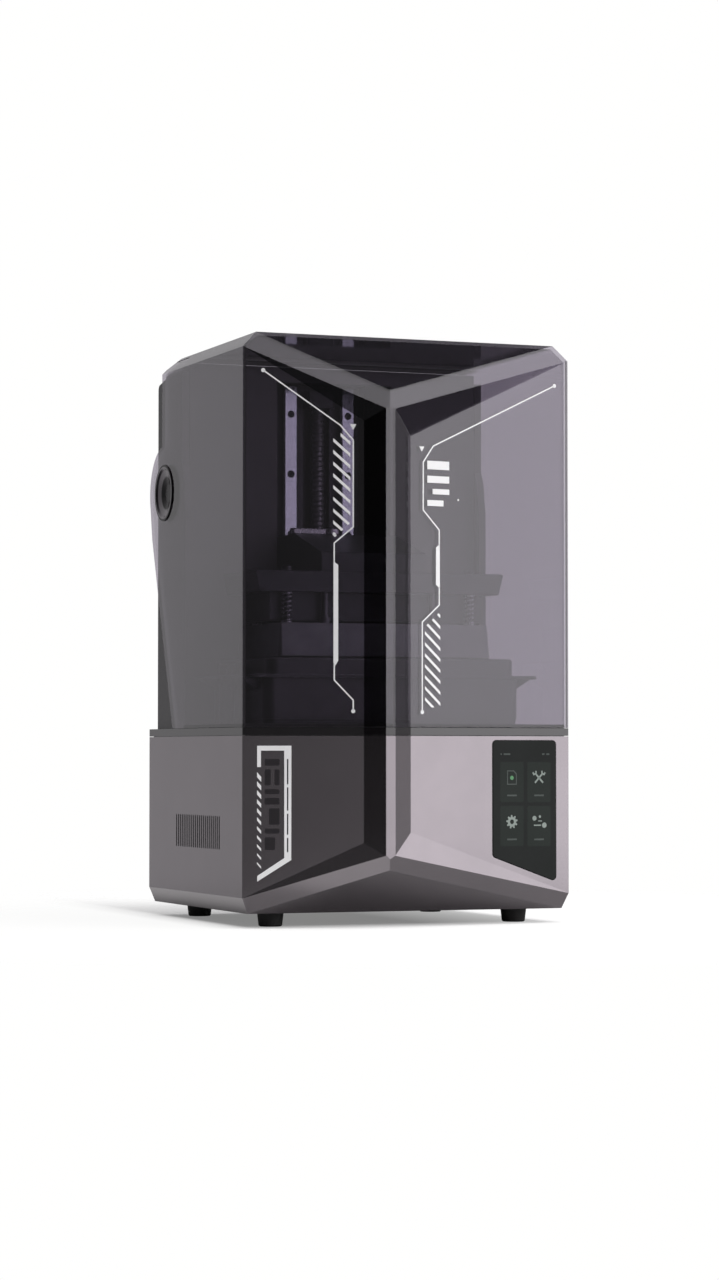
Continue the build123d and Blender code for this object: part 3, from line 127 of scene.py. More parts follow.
def surface(name, colour, other, metallic=0.0, rough=0.5, spread=0.06, mottle=22.0,
            grain=900.0, bump=0.3, depth=0.00003, stretch=(1, 1, 1), edge=0.4, wear=0.0,
            worn=(0.6, 0.6, 0.62), coat=0.0, ior=1.5, glow=None):
    """A finished material: broad colour change, fine grain, softened edges and edge wear."""
    made, tree = new_material(name)
    point = object_point(tree, stretch)
    broad = noise(tree, point, mottle, detail=4.0, rough=0.6)
    fine = noise(tree, point, grain, detail=3.0)
    tint = remap(tree, broad, *NOISE_RANGE, 0.0, 1.0)
    shade = blend_colour(tree, tint, rgba(colour), rgba(other))
    soft = add_node(tree, "ShaderNodeBevel", {"Radius": edge * MM}, samples=4)
    if wear > 0:
        flat = add_node(tree, "ShaderNodeNewGeometry")
        turn = add_node(tree, "ShaderNodeVectorMath", {
            0: soft.outputs["Normal"], 1: flat.outputs["Normal"]}, operation="DOT_PRODUCT")
        rim = remap(tree, turn.outputs["Value"], *WORN_LEAN, 0.0, wear)
        patches = noise(tree, point, PATCH_SCALE, detail=4.0, rough=0.7)
        patchy = remap(tree, patches, *PATCH_RANGE, 0.0, 1.0)
        shade = blend_colour(tree, math_node(tree, "MULTIPLY", rim, patchy), shade, rgba(worn))
    roughness = remap(tree, fine, *NOISE_RANGE, rough - spread, rough + spread)
    relief = add_node(tree, "ShaderNodeBump", {
        "Strength": bump, "Distance": depth, "Height": fine,
        "Normal": soft.outputs["Normal"]})
    shader = add_node(tree, "ShaderNodeBsdfPrincipled", {
        "Base Color": shade, "Metallic": metallic, "Roughness": roughness, "IOR": ior,
        "Coat Weight": coat, "Coat Roughness": 0.08, "Normal": relief.outputs["Normal"]})
    if glow:
        shader.inputs["Emission Color"].default_value = rgba(glow)
        shader.inputs["Emission Strength"].default_value = 1.0
    out = add_node(tree, "ShaderNodeOutputMaterial")
    tree.links.new(shader.outputs[0], out.inputs["Surface"])
    return made


SCHLICK_POWER = 5.0      # how a sheet's reflection grows towards edge-on
LOSS_POWER = 8.0         # how the light lost inside a sheet grows towards edge-on
LOSS_FULL = 0.45         # the raised share at which the loss is complete
LOSS_LEFT = 0.12         # what is still passed there
WAVE_SCALE = 7.0         # the noise scale of a sheet's slow waves
HAZE_SCALE = 260.0       # the noise scale of its faint mottling
HAZE_RANGE = (0.35, 0.65)    # the noise's values between which the mottling sets in
HAZE_LOSS = 0.985        # the share of the tint that is left in it
SHEET_EDGE = 0.6         # how softly its edges are rounded, in mm

# the lid's darker places, with painted shade at its corners and two facets: places in millimetres, the rest in
# shares of 1
CORNER_REACH = (2.2, 3.4)    # painted shade on the lid's thick corners fades out this far in
CORNER_START = 0.3           # and set in over this distance ahead of CORNER_Y
DENSE_SHARE = 0.9            # how much of the darkened corners and the dark part of the roof is body, not clear
DARK_ROOF_GLOSS = 0.05          # the reflection left on the dark part of the roof
ROOF_MARGIN = 0.6            # how far from ROOF_INSIDE still counts as the roof's underside
TURNED_X, TURNED_Y = -0.42, -0.5     # only the two dark facets' normals lie below both
TURNED_PAINTED_SHADE = 0.6            # painted shade: the share by which what shows through those facets is darkened


def lid_painted_shades(tree, point, share, body_share, passed):
    """A sheet's reflection, body share and tint, changed at the lid's darker places: painted shade at its corners
    and two facets, and a dark part of the roof.
    """
    parts = add_node(tree, "ShaderNodeSeparateXYZ", {"Vector": point})
    # painted shade: the two upright front corners are darkened, standing in for the dark that light bent through
    # their thick plastic shows
    ahead = math_node(tree, "SUBTRACT", CORNER_Y * MM, parts.outputs["Y"])
    aside = math_node(tree, "SUBTRACT", HALF_WIDTH * MM, math_node(
        tree, "ABSOLUTE", parts.outputs["X"]))
    corner_shade = math_node(
        tree, "MULTIPLY",
        remap(tree, aside, CORNER_REACH[0] * MM, CORNER_REACH[1] * MM, 1.0, 0.0),
        remap(tree, ahead, 0.0, CORNER_START * MM, 0.0, 1.0))
    # the roof's underside above the tower is made dark: little reflection and mostly dark body
    under_roof = math_node(tree, "COMPARE", parts.outputs["Z"], ROOF_INSIDE * MM,
                           ROOF_MARGIN * MM)
    dark_roof = math_node(
        tree, "MULTIPLY", under_roof,
        remap(tree, parts.outputs["Y"], TOWER_Y[0] * MM, TOWER_Y[1] * MM, 0.0, 1.0))
    dense = math_node(tree, "MAXIMUM", corner_shade, dark_roof)
    share = math_node(tree, "MULTIPLY", share,
                      remap(tree, dark_roof, 0.0, 1.0, 1.0, DARK_ROOF_GLOSS))
    body_share = remap(tree, dense, 0.0, 1.0, body_share, DENSE_SHARE)
    # painted shade: what shows through the two facets that turn left beside the spine and under the arm is
    # darkened, so they look nearly black
    flat = add_node(tree, "ShaderNodeNewGeometry")
    lean = add_node(tree, "ShaderNodeSeparateXYZ", {"Vector": flat.outputs["True Normal"]})
    turned = math_node(tree, "MULTIPLY",
                       math_node(tree, "LESS_THAN", lean.outputs["X"], TURNED_X),
                       math_node(tree, "LESS_THAN", lean.outputs["Y"], TURNED_Y))
    passed = blend_colour(tree, math_node(tree, "MULTIPLY", turned, TURNED_PAINTED_SHADE), passed, BLACK)
    return share, body_share, passed


def see_through(name, tint, body, body_share, ior, rough, wave=0.00002, lid=False):
    """A clear or smoked sheet: what is behind shows, and its faces reflect the studio."""
    made, tree = new_material(name)
    point = object_point(tree)
    wavy = noise(tree, point, WAVE_SCALE, detail=0.0)
    soft = add_node(tree, "ShaderNodeBevel", {"Radius": SHEET_EDGE * MM}, samples=4)
    relief = add_node(tree, "ShaderNodeBump", {
        "Strength": 0.5, "Distance": wave, "Height": wavy, "Normal": soft.outputs["Normal"]})
    mottling = noise(tree, point, HAZE_SCALE, detail=3.0, rough=0.6)
    haze = remap(tree, mottling, *HAZE_RANGE, 0.0, 1.0)
    # the same share of reflection on both faces of a wall, whichever way it is looked through
    facing = add_node(tree, "ShaderNodeLayerWeight", {"Blend": 0.5})
    straight_on = ((ior - 1) / (ior + 1)) ** 2
    grazing = math_node(tree, "POWER", facing.outputs["Facing"], SCHLICK_POWER)
    share = remap(tree, grazing, 0.0, 1.0, straight_on, 1.0)
    # seen nearly edge-on the light's way through is long, and little is left of it
    edge_on = math_node(tree, "POWER", facing.outputs["Facing"], LOSS_POWER)
    left = remap(tree, edge_on, 0.0, LOSS_FULL, 1.0, LOSS_LEFT)
    passed = blend_colour(tree, haze, rgba([c * HAZE_LOSS for c in tint]), rgba(tint))
    passed = blend_colour(tree, left, BLACK, passed)
    if lid:
        share, body_share, passed = lid_painted_shades(tree, point, share, body_share, passed)
    clear = add_node(tree, "ShaderNodeBsdfTransparent", {"Color": passed})
    dull = add_node(tree, "ShaderNodeBsdfDiffuse", {"Color": rgba(body)})
    sheet = add_node(tree, "ShaderNodeMixShader", {
        0: body_share, 1: clear.outputs[0], 2: dull.outputs[0]})
    mirror = add_node(tree, "ShaderNodeBsdfGlossy", {
        "Color": (1, 1, 1, 1), "Roughness": remap(tree, haze, 0, 1, rough * 0.8, rough * 1.2),
        "Normal": relief.outputs["Normal"]})
    whole = add_node(tree, "ShaderNodeMixShader", {
        0: share, 1: sheet.outputs[0], 2: mirror.outputs[0]})
    out = add_node(tree, "ShaderNodeOutputMaterial")
    tree.links.new(whole.outputs[0], out.inputs["Surface"])
    return made


RING_EDGES = (1.5, 0.4)      # how softly the cap's painted lighter ring begins and ends, in mm
TURNING_MARKS = 9000.0       # the turning marks' angle per metre of radius


def ringed(name, dark, bright, bright_from, bright_to):
    """A hinge cap: dark in the dish and round the rim, and between them a lighter metallic ring set by the radius,
    a painted highlight standing in for the light the cap's rounded edge catches.
    """
    made, tree = new_material(name)
    point = object_point(tree)
    parts = add_node(tree, "ShaderNodeSeparateXYZ", {"Vector": point})
    hinge = next(j for j in frame["joints"] if j["name"] == "lid_hinge")
    _, hinge_y, hinge_z = hinge["pos_m"]
    across = math_node(tree, "SUBTRACT", parts.outputs["Y"], hinge_y)
    up = math_node(tree, "SUBTRACT", parts.outputs["Z"], hinge_z)
    radius = math_node(tree, "SQRT", math_node(
        tree, "ADD", math_node(tree, "MULTIPLY", across, across),
        math_node(tree, "MULTIPLY", up, up)))
    begin, end = RING_EDGES
    # painted highlight: the lighter ring between these radii stands in for the light the cap's rounded edge
    # catches
    ring = math_node(
        tree, "MULTIPLY",
        remap(tree, radius, (bright_from - begin) * MM, bright_from * MM, 0.0, 1.0),
        remap(tree, radius, bright_to * MM, (bright_to + end) * MM, 1.0, 0.0))
    marks = math_node(tree, "SINE", math_node(tree, "MULTIPLY", radius, TURNING_MARKS))
    soft = add_node(tree, "ShaderNodeBevel", {"Radius": 0.4 * MM}, samples=4)
    relief = add_node(tree, "ShaderNodeBump", {
        "Strength": 0.12, "Distance": 0.00003, "Height": marks,
        "Normal": soft.outputs["Normal"]})
    speck = remap(tree, noise(tree, point, 1200.0), *NOISE_RANGE, 0.0, 1.0)
    deep = blend_colour(tree, speck, rgba(dark), rgba([c * 1.4 for c in dark]))
    shader = add_node(tree, "ShaderNodeBsdfPrincipled", {
        "Base Color": blend_colour(tree, ring, deep, rgba(bright)),
        "Metallic": ring,
        "Specular IOR Level": remap(tree, ring, 0, 1, 0.12, 0.5),
        "Roughness": remap(tree, ring, 0, 1, 0.16, 0.2),
        "Normal": relief.outputs["Normal"]})
    out = add_node(tree, "ShaderNodeOutputMaterial")
    tree.links.new(shader.outputs[0], out.inputs["Surface"])
    return made


# ---------------------------------------------------------------- the slots' materials
LOOKS = {
    "base_paint": surface("base_paint", (0.235, 0.215, 0.228), (0.25, 0.228, 0.242),
                          metallic=0.94, rough=0.23, spread=0.025, grain=2600, bump=0.12,
                          edge=0.7, wear=0.12, worn=(0.42, 0.40, 0.42)),
    "deck_gloss": surface("deck_gloss", (0.006, 0.005, 0.006), (0.009, 0.008, 0.009), rough=0.1,
                          spread=0.03, grain=1400, bump=0.06, edge=0.5, ior=1.72),
    "dark_steel": surface("dark_steel", (0.045, 0.045, 0.05), (0.06, 0.06, 0.062),
                          metallic=0.3, rough=0.5, grain=1500, bump=0.5, wear=0.3),
    "foot_rubber": surface("foot_rubber", (0.018, 0.018, 0.018), (0.03, 0.029, 0.028),
                           rough=0.75, grain=1100, bump=0.6, depth=0.00006, edge=0.8),
    "bright_steel": surface("bright_steel", (0.48, 0.48, 0.50), (0.54, 0.54, 0.56),
                            metallic=1.0, rough=0.28, spread=0.05, grain=700, bump=0.2,
                            stretch=(1, 1, 0.08), edge=0.25),
    "tower_plastic": surface("tower_plastic", (0.050, 0.048, 0.051), (0.060, 0.057, 0.061),
                             rough=0.42, grain=1700, bump=0.3, depth=0.00004, edge=0.8),
    "black_anodised": surface("black_anodised", (0.045, 0.044, 0.05), (0.058, 0.056, 0.062),
                              metallic=0.75, rough=0.38, grain=2200, bump=0.35, edge=0.5,
                              wear=0.35, worn=(0.35, 0.35, 0.38)),
    "rail_steel": surface("rail_steel", (0.80, 0.84, 0.91), (0.85, 0.89, 0.95), metallic=0.95,
                          rough=0.2, grain=500, bump=0.2, stretch=(1, 1, 0.03), edge=0.5),
    "black_screw": surface("black_screw", (0.05, 0.05, 0.055), (0.075, 0.075, 0.08),
                           metallic=0.8, rough=0.36, grain=1800, edge=0.3, wear=0.3),
    "motor_black": surface("motor_black", (0.05, 0.05, 0.052), (0.07, 0.07, 0.072),
                           metallic=0.5, rough=0.42, grain=1400, edge=0.6, wear=0.3),
    "black_plastic": surface("black_plastic", (0.022, 0.022, 0.024), (0.03, 0.03, 0.032),
                             rough=0.45, grain=1600, bump=0.5, depth=0.00005, edge=0.5),
    "white_plastic": surface("white_plastic", (0.76, 0.76, 0.74), (0.7, 0.7, 0.68), rough=0.5,
                             grain=1200, edge=0.6),
    "clear_lens": see_through("clear_lens", (0.86, 0.9, 0.93), (0.7, 0.75, 0.8), 0.15, 1.5,
                              0.08),
    "board_green": surface("board_green", (0.015, 0.11, 0.045), (0.03, 0.19, 0.08), rough=0.4,
                           mottle=240, grain=900, edge=0.2, coat=0.4),
    "bare_aluminium": surface("bare_aluminium", (0.70, 0.70, 0.72), (0.78, 0.78, 0.8),
                              metallic=1.0, rough=0.36, grain=600, stretch=(1, 0.05, 1),
                              edge=0.3),
    "screen_glass": surface("screen_glass", (0.010, 0.012, 0.011), (0.013, 0.015, 0.014),
                            rough=0.07, spread=0.01, grain=120, bump=0.02, edge=0.3,
                            ior=1.18),
    "lid_smoke": see_through("lid_smoke", (0.682, 0.655, 0.706), (0.02, 0.018, 0.021), 0.04,
                             1.64, 0.05, lid=True),
    "seal_rubber": surface("seal_rubber", (0.022, 0.02, 0.023), (0.032, 0.03, 0.034),
                           rough=0.7, grain=900, bump=0.6, edge=0.6),
    # the hinge cap's lighter ring is a painted highlight
    "cap_gloss": ringed("cap_gloss", (0.010, 0.009, 0.011), (0.17, 0.16, 0.17), 17.0, 25.4),
    "plate_aluminium": surface("plate_aluminium", (0.13, 0.13, 0.14), (0.17, 0.17, 0.18),
                               metallic=0.8, rough=0.45, mottle=60, grain=1300, bump=0.9,
                               depth=0.00008, edge=0.6, wear=0.5),
    "vat_aluminium": surface("vat_aluminium", (0.062, 0.060, 0.066), (0.078, 0.075, 0.082),
                             metallic=0.7, rough=0.42, mottle=40, grain=1900, bump=0.6,
                             depth=0.00006, edge=0.7, wear=0.4),
    "clear_film": see_through("clear_film", (0.82, 0.85, 0.88), (0.6, 0.65, 0.7), 0.08, 1.4,
                              0.12, wave=0.00004),
}
# the ball screw's own look, darker than the steel of its slot
DARKER_SCREW_STEEL = surface("darker_screw_steel", (0.25, 0.245, 0.255), (0.30, 0.295, 0.305), metallic=0.9,
                      rough=0.45, grain=900, bump=0.2, edge=0.25)
for node_name, node_slot in SLOT_OF.items():
    cells = NODES[node_name].data.materials
    cells.clear()
    cells.append(LOOKS[node_slot])

# the materials of what is printed on the panels and shown on the screen
# painted light: the white print is given a faint glow of its own, though it is no lamp
PRINT_WHITE_GLOWING = surface("print_white_painted_glow", (0.86, 0.86, 0.86), (0.80, 0.80, 0.80), rough=0.5,
                      spread=0.04, grain=1500, bump=0.2, edge=0.05, glow=(0.05, 0.05, 0.05))
PRINT_DARK = surface("print_dark", (0.012, 0.01, 0.012), (0.018, 0.015, 0.018), rough=0.35,
                     grain=1500, bump=0.2, edge=0.05)
TILE = surface("screen_tile", (0.006, 0.009, 0.007), (0.009, 0.012, 0.010), rough=0.2,
               grain=1500, bump=0.1, edge=0.05, ior=1.22, glow=(0.004, 0.006, 0.005))
ICON = surface("screen_icon", (0.20, 0.23, 0.21), (0.24, 0.27, 0.25), rough=0.4,
               grain=1500, bump=0.1, edge=0.05, ior=1.22, glow=(0.04, 0.05, 0.045))
ICON_GREEN = surface("screen_icon_green", (0.08, 0.20, 0.10), (0.10, 0.23, 0.12), rough=0.4,
                     grain=1500, bump=0.1, edge=0.05, ior=1.22, glow=(0.02, 0.06, 0.025))
FAINT = surface("screen_faint", (0.05, 0.06, 0.055), (0.065, 0.075, 0.07), rough=0.4,
                grain=1500, bump=0.1, edge=0.05, ior=1.22, glow=(0.010, 0.012, 0.011))


# ---------------------------------------------------------------- mesh helpers
SHARP_ANGLE = 40         # smooth pieces keep edges sharper than this, in degrees


def skin(mesh, rings, closed=False):
    """Faces between rings of corners in turn, capped unless the last meets the first."""
    for a, b in zip(rings, rings[1:] + rings[:1] if closed else rings[1:]):
        for k in range(len(a)):
            n = (k + 1) % len(a)
            mesh.faces.new((a[k], a[n], b[n], b[k]))
    if not closed:
        mesh.faces.new(list(reversed(rings[0])))
        mesh.faces.new(rings[-1])


def finish_mesh(mesh, name, material, body, smooth=False):
    """Turns gathered faces into a piece that rides on a body."""
    bmesh.ops.recalc_face_normals(mesh, faces=mesh.faces)
    data = bpy.data.meshes.new(name)
    mesh.to_mesh(data)
    mesh.free()
    data.materials.append(material)
    if smooth:
        data.shade_smooth()
        data.set_sharp_from_angle(angle=math.radians(SHARP_ANGLE))
    made = bpy.data.objects.new(name, data)
    bpy.context.scene.collection.objects.link(made)
    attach(made, body)
    return made


# ---------------------------------------------------------------- flat work on the panels
class Panel:
    """One sunk front panel: s runs along it from the spine's side, z is up, both in mm."""

    def __init__(self, inner_x, outer_x):
        self.origin = Vector((inner_x, PANEL_Y, 0))
        run = Vector((outer_x, CORNER_Y, 0)) - self.origin
        self.along = run.normalized()
        self.out = Vector((-abs(run.y), -abs(run.x), 0)).normalized()
        if outer_x > inner_x:
            self.out.x = -self.out.x

    def point(self, s, z, lift):
        return (self.origin + self.along * s + self.out * lift + Vector((0, 0, z))) * MM


LEFT = Panel(LEFT_INNER_X, -HALF_WIDTH)
RIGHT = Panel(RIGHT_INNER_X, HALF_WIDTH)


LEAST_MITRE = 0.4        # keeps a line's sharp corners from running out too far


class Print:
    """Thin raised shapes gathered into one piece, between two heights off a panel."""

    def __init__(self, name, panel, low, high, material, body, slot):
        self.mesh = bmesh.new()
        self.name, self.panel, self.low, self.high = name, panel, low, high
        self.material, self.body, self.slot = material, body, slot

    def corner(self, s, z, lift):
        return self.mesh.verts.new(self.panel.point(s, z, lift))

    def prism(self, points):
        """A closed flat shape, given once round its outline."""
        low = [self.corner(s, z, self.low) for s, z in points]
        high = [self.corner(s, z, self.high) for s, z in points]
        self.mesh.faces.new(high)
        self.mesh.faces.new(list(reversed(low)))
        for i, corner in enumerate(low):
            j = (i + 1) % len(low)
            self.mesh.faces.new((corner, low[j], high[j], high[i]))

    def ribbon(self, points, width, closed=False):
        """A line of even width with mitred corners."""
        count = len(points)
        sides = []
        for i, (s, z) in enumerate(points):
            here = Vector((s, z))
            before = Vector(points[i - 1]) if closed or i > 0 else None
            after = Vector(points[(i + 1) % count]) if closed or i < count - 1 else None
            runs = [v.normalized() for v in (
                here - before if before is not None else None,
                after - here if after is not None else None) if v is not None]
            mean = sum(runs, Vector((0, 0))).normalized()
            normal = Vector((-mean.y, mean.x))
            square = Vector((-runs[0].y, runs[0].x))
            reach = width / 2 / max(normal.dot(square), LEAST_MITRE)
            sides.append((here + normal * reach, here - normal * reach))
        rings = [[self.corner(*left, self.low), self.corner(*right, self.low),
                  self.corner(*right, self.high), self.corner(*left, self.high)]
                 for left, right in sides]
        skin(self.mesh, rings, closed)

    def disc(self, s, z, radius, sides=20):
        self.prism([(s + radius * math.cos(math.tau * i / sides),
                     z + radius * math.sin(math.tau * i / sides)) for i in range(sides)])

    def box(self, s0, s1, z0, z1, corner=0.0, steps=4):
        """A rectangle, with rounded corners if a radius is given."""
        if not corner:
            self.prism([(s0, z0), (s1, z0), (s1, z1), (s0, z1)])
            return
        points = []
        for cs, cz, start in ((s1 - corner, z0 + corner, -90), (s1 - corner, z1 - corner, 0),
                              (s0 + corner, z1 - corner, 90), (s0 + corner, z0 + corner, 180)):
            for k in range(steps + 1):
                a = math.radians(start + 90 * k / steps)
                points.append((cs + corner * math.cos(a), cz + corner * math.sin(a)))
        self.prism(points)

    def done(self):
        return finish_mesh(self.mesh, self.name, self.material, self.body)


INK_LOW, INK_HIGH = -0.05, 0.12      # the print's underside and top, from the panel's face
LINE = 1.25                          # the width of the thin lines
DOT = 1.9                            # the radius of the dots that end them
LEFT_STRIPE, RIGHT_STRIPE = 3.2, 3.1     # how tall the slanting stripes are


def triangle(work, s, z, size):
    """A small marker that points down."""
    rise = size * 0.45
    work.prism([(s - size / 2, z + rise), (s, z - rise), (s + size / 2, z + rise)])


ABOVE, BELOW = 1, -1     # which side of a cutting line is kept


def kept(points, slope, side, through):
    """The part of a flat outline above or below a line of that slope through a point."""
    start = through[1] - slope * through[0]
    inside = [side * (z - start - slope * s) >= 0 for s, z in points]
    result = []
    for i, (here, z_here) in enumerate(points):
        j = (i + 1) % len(points)
        there, z_there = points[j]
        if inside[i]:
            result.append((here, z_here))
        if inside[i] != inside[j]:
            from_line = z_here - start - slope * here
            to_line = z_there - start - slope * there
            t = from_line / (from_line - to_line)
            result.append((here + (there - here) * t, z_here + (z_there - z_here) * t))
    return result


def hazard(work, s0, s1, heights, drop, tall, cuts):
    """A column of slanting stripes from s0 down to s1, trimmed by the cutting lines."""
    half = tall / 2
    for z in heights:
        stripe = [(s0, z - half), (s1, z - drop - half), (s1, z - drop + half), (s0, z + half)]
        for slope, side, through in cuts:
            stripe = kept(stripe, slope, side, through)
        if len(stripe) > 2:
            work.prism(stripe)


left_line = Print("lid_print_left", LEFT, INK_LOW, INK_HIGH, PRINT_WHITE_GLOWING, "lid", "lid_smoke")
left_line.ribbon([(92.8, 511.7), (21.9, 461.7), (9.9, 448.0), (9.9, 367.9), (27.4, 353.1),
                  (27.4, 335.0)], LINE)
left_line.prism([(28.1, 336.5), (28.1, 243.0), (26.4, 239.5), (26.4, 240.5), (23.7, 245.0),
                 (23.7, 333.0)])
left_line.ribbon([(27.3, 242.0), (27.3, 227.3), (9.9, 209.0), (9.9, 198.9)], LINE)
for s, z in ((92.8, 511.7), (9.9, 198.9)):
    left_line.disc(s, z, DOT)
left_line.disc(27.4, 361.3, 1.5)
triangle(left_line, 9.9, 460.0, 6.0)
hazard(left_line, 28.3, 12.6, [448.0 - 10.8 * i for i in range(9)], 13.95,
       LEFT_STRIPE, [(-0.93, ABOVE, (13.3, 371.1))])
hazard(left_line, 21.5, 12.6, [452.9], 8.0, LEFT_STRIPE, [])
left_line.done()

right_line = Print("lid_print_right", RIGHT, INK_LOW, INK_HIGH, PRINT_WHITE_GLOWING, "lid",
                   "lid_smoke")
right_line.ribbon([(161.5, 509.3), (24.8, 445.3), (13.8, 429.9), (13.7, 385.4),
                   (31.3, 367.4), (31.3, 352.0)], LINE)
right_line.prism([(31.9, 354.5), (31.9, 313.0), (27.6, 316.5), (27.6, 351.0)])
right_line.ribbon([(31.3, 314.5), (31.3, 297.7), (12.6, 281.5), (12.5, 198.3)], LINE)
for s, z in ((161.5, 509.3), (12.5, 198.3)):
    right_line.disc(s, z, DOT)
right_line.disc(52.4, 396.2, 0.9)
triangle(right_line, 12.1, 441.9, 5.5)
hazard(right_line, 15.5, 32.3, [302.1 - 10.17 * i for i in range(10)], 15.1,
       RIGHT_STRIPE, [(0.851, BELOW, (17.67, 279.1)), (0.0, ABOVE, (0.0, 202.7))])
for s0, s1, z0, z1 in ((18.2, 42.4, 423.5, 431.5), (18.2, 42.4, 411.0, 417.5),
                       (24.0, 42.4, 400.5, 405.5), (18.2, 36.0, 389.5, 395.0)):
    right_line.box(s0, s1, z0, z1)
right_line.done()

# the framed label on the base, left of the spine
label = Print("base_label", LEFT, INK_LOW, INK_HIGH, PRINT_WHITE_GLOWING, "base", "base_paint")
label.prism([(98.0, 167.1), (66.6, 167.2), (66.7, 62.8), (97.8, 43.2), (97.8, 48.3),
             (73.1, 64.6), (73.2, 162.7), (94.5, 162.7), (94.5, 147.7), (98.0, 147.7)])
DASHES, DASH_TOP, DASH_STEP, DASH_DROP = 11, 143.0, 8.2, 4.2
DASH_TALL, DASH_SHRINK = 4.6, 0.28       # each is a little shorter than the one above
for i in range(DASHES):
    z = DASH_TOP - i * DASH_STEP
    tall = DASH_TALL - DASH_SHRINK * i
    label.prism([(98.0, z), (94.3, z - DASH_DROP), (94.3, z - DASH_DROP - tall),
                 (98.0, z - tall)])
label.done()
blocks = Print("base_label_dark", LEFT, INK_LOW, INK_HIGH, PRINT_DARK, "base", "base_paint")
for s0, s1, z_low, z_high in ((77.5, 91.0, 149.0, 155.0), (77.5, 82.0, 131.0, 145.5),
                              (85.5, 91.0, 131.0, 145.5), (77.5, 91.0, 123.0, 127.5),
                              (77.5, 91.0, 113.5, 119.5), (77.5, 87.0, 95.0, 110.0),
                              (77.5, 91.0, 87.0, 91.5), (81.5, 91.0, 72.0, 83.5)):
    blocks.box(s0, s1, z_low, z_high, 1.2)
blocks.done()
bars = Print("base_label_bars", LEFT, INK_LOW, INK_HIGH + 0.06, PRINT_DARK, "base",
             "base_paint")
for z_low, z_high in ((132.0, 155.0), (108.0, 129.0), (86.0, 105.0), (70.0, 83.0)):
    bars.box(69.4, 70.6, z_low, z_high)
bars.done()

# ---------------------------------------------------------------- the touchscreen's picture
GLASS = 0.6              # how far the touchscreen's face stands out of the panel
# the four tiles of the menu: s from and to, z from and to
TILES = {"papers": (98.6, 125.1, 114.4, 152.0), "tools": (129.3, 155.9, 114.1, 152.0),
         "gear": (98.6, 125.0, 73.1, 110.9), "net": (129.3, 155.8, 72.6, 110.6)}


def screen_work(name, low, high, material):
    return Print(name, RIGHT, GLASS + low, GLASS + high, material, "base", "screen_glass")


tiles = screen_work("screen_tiles", -0.05, 0.03, TILE)
for s0, s1, z0, z1 in TILES.values():
    tiles.box(s0, s1, z0, z1, 1.6)
tiles.done()

icons = screen_work("screen_icons", 0.0, 0.07, ICON)
green = screen_work("screen_icons_green", 0.0, 0.07, ICON_GREEN)
faint = screen_work("screen_faint_marks", -0.05, 0.07, FAINT)


def tile_middle(key, up=4.0):
    s0, s1, z0, z1 = TILES[key]
    return (s0 + s1) / 2, (z0 + z1) / 2 + up


# the four signs, drawn about the middles of their tiles
s, z = tile_middle("papers")
faint.ribbon([(s - 5, z - 6), (s + 5, z - 6), (s + 5, z + 3.5), (s + 2, z + 6.5),
              (s - 5, z + 6.5)], 1.0, closed=True)
green.disc(s, z, 2.0)
s, z = tile_middle("tools")
for turn in (-1, 1):
    icons.ribbon([(s - turn * 4.6, z - 4.6), (s + turn * 3.4, z + 3.4)], 1.7)
    icons.ribbon([(s + turn * 3.4, z + 6.6), (s + turn * 3.4, z + 4.2),
                  (s + turn * 5.8, z + 3.2), (s + turn * 7.0, z + 5.2)], 1.5)
s, z = tile_middle("gear")
TEETH = 9
rim = []
for i in range(TEETH):
    for step, radius in ((0.0, 4.6), (0.18, 6.4), (0.5, 6.4), (0.68, 4.6)):
        a = math.tau * (i + step) / TEETH
        rim.append((s + radius * math.cos(a), z + radius * math.sin(a)))
icons.prism(rim)
gear_hole = screen_work("screen_gear_hole", 0.04, 0.1, TILE)
gear_hole.disc(s, z, 2.2)
gear_hole.done()
s, z = tile_middle("net")
for ds, dz, radius in ((-5.2, 3.4, 2.3), (1.0, 5.0, 1.3), (6.0, -3.2, 2.6)):
    icons.disc(s + ds, z + dz, radius)
icons.ribbon([(s - 6, z - 3.2), (s + 2.2, z - 3.2)], 1.2)
icons.ribbon([(s - 0.9, z + 0.8), (s + 3.4, z + 0.8)], 0.9)
# a bar under each sign, and short marks along the top of the screen
for key in TILES:
    s, z = tile_middle(key, -12.5)
    faint.box(s - 5.5, s + 5.5, z - 0.8, z + 0.8, 0.4)
for s0, s1 in ((99.0, 100.4), (102.5, 110.0), (146.0, 149.0), (151.0, 154.5)):
    faint.box(s0, s1, 158.6, 160.2, 0.4)
icons.done()
green.done()
faint.done()


# ---------------------------------------------------------------- turned and coiled pieces
def tube(mesh, path, radius, sides=8):
    """A round bar bent along a path of points, closed at both ends."""
    rings = []
    side = None
    for i, here in enumerate(path):
        ahead = path[min(i + 1, len(path) - 1)] - path[max(i - 1, 0)]
        ahead.normalize()
        if side is None:
            side = ahead.orthogonal().normalized()
        side = (side - ahead * side.dot(ahead)).normalized()
        third = ahead.cross(side)
        rings.append([mesh.verts.new(here + (side * math.cos(a) + third * math.sin(a)) * radius)
                      for a in (math.tau * k / sides for k in range(sides))])
    skin(mesh, rings)


SPRING_WIRE = 0.8        # the wire's radius
SPRING_OUTER = 5.2       # the coil's outer radius
SPRING_TURNS = 6
CLOSE_CLIMB = 1.4        # how far the close turns rise at either end, in wire radii


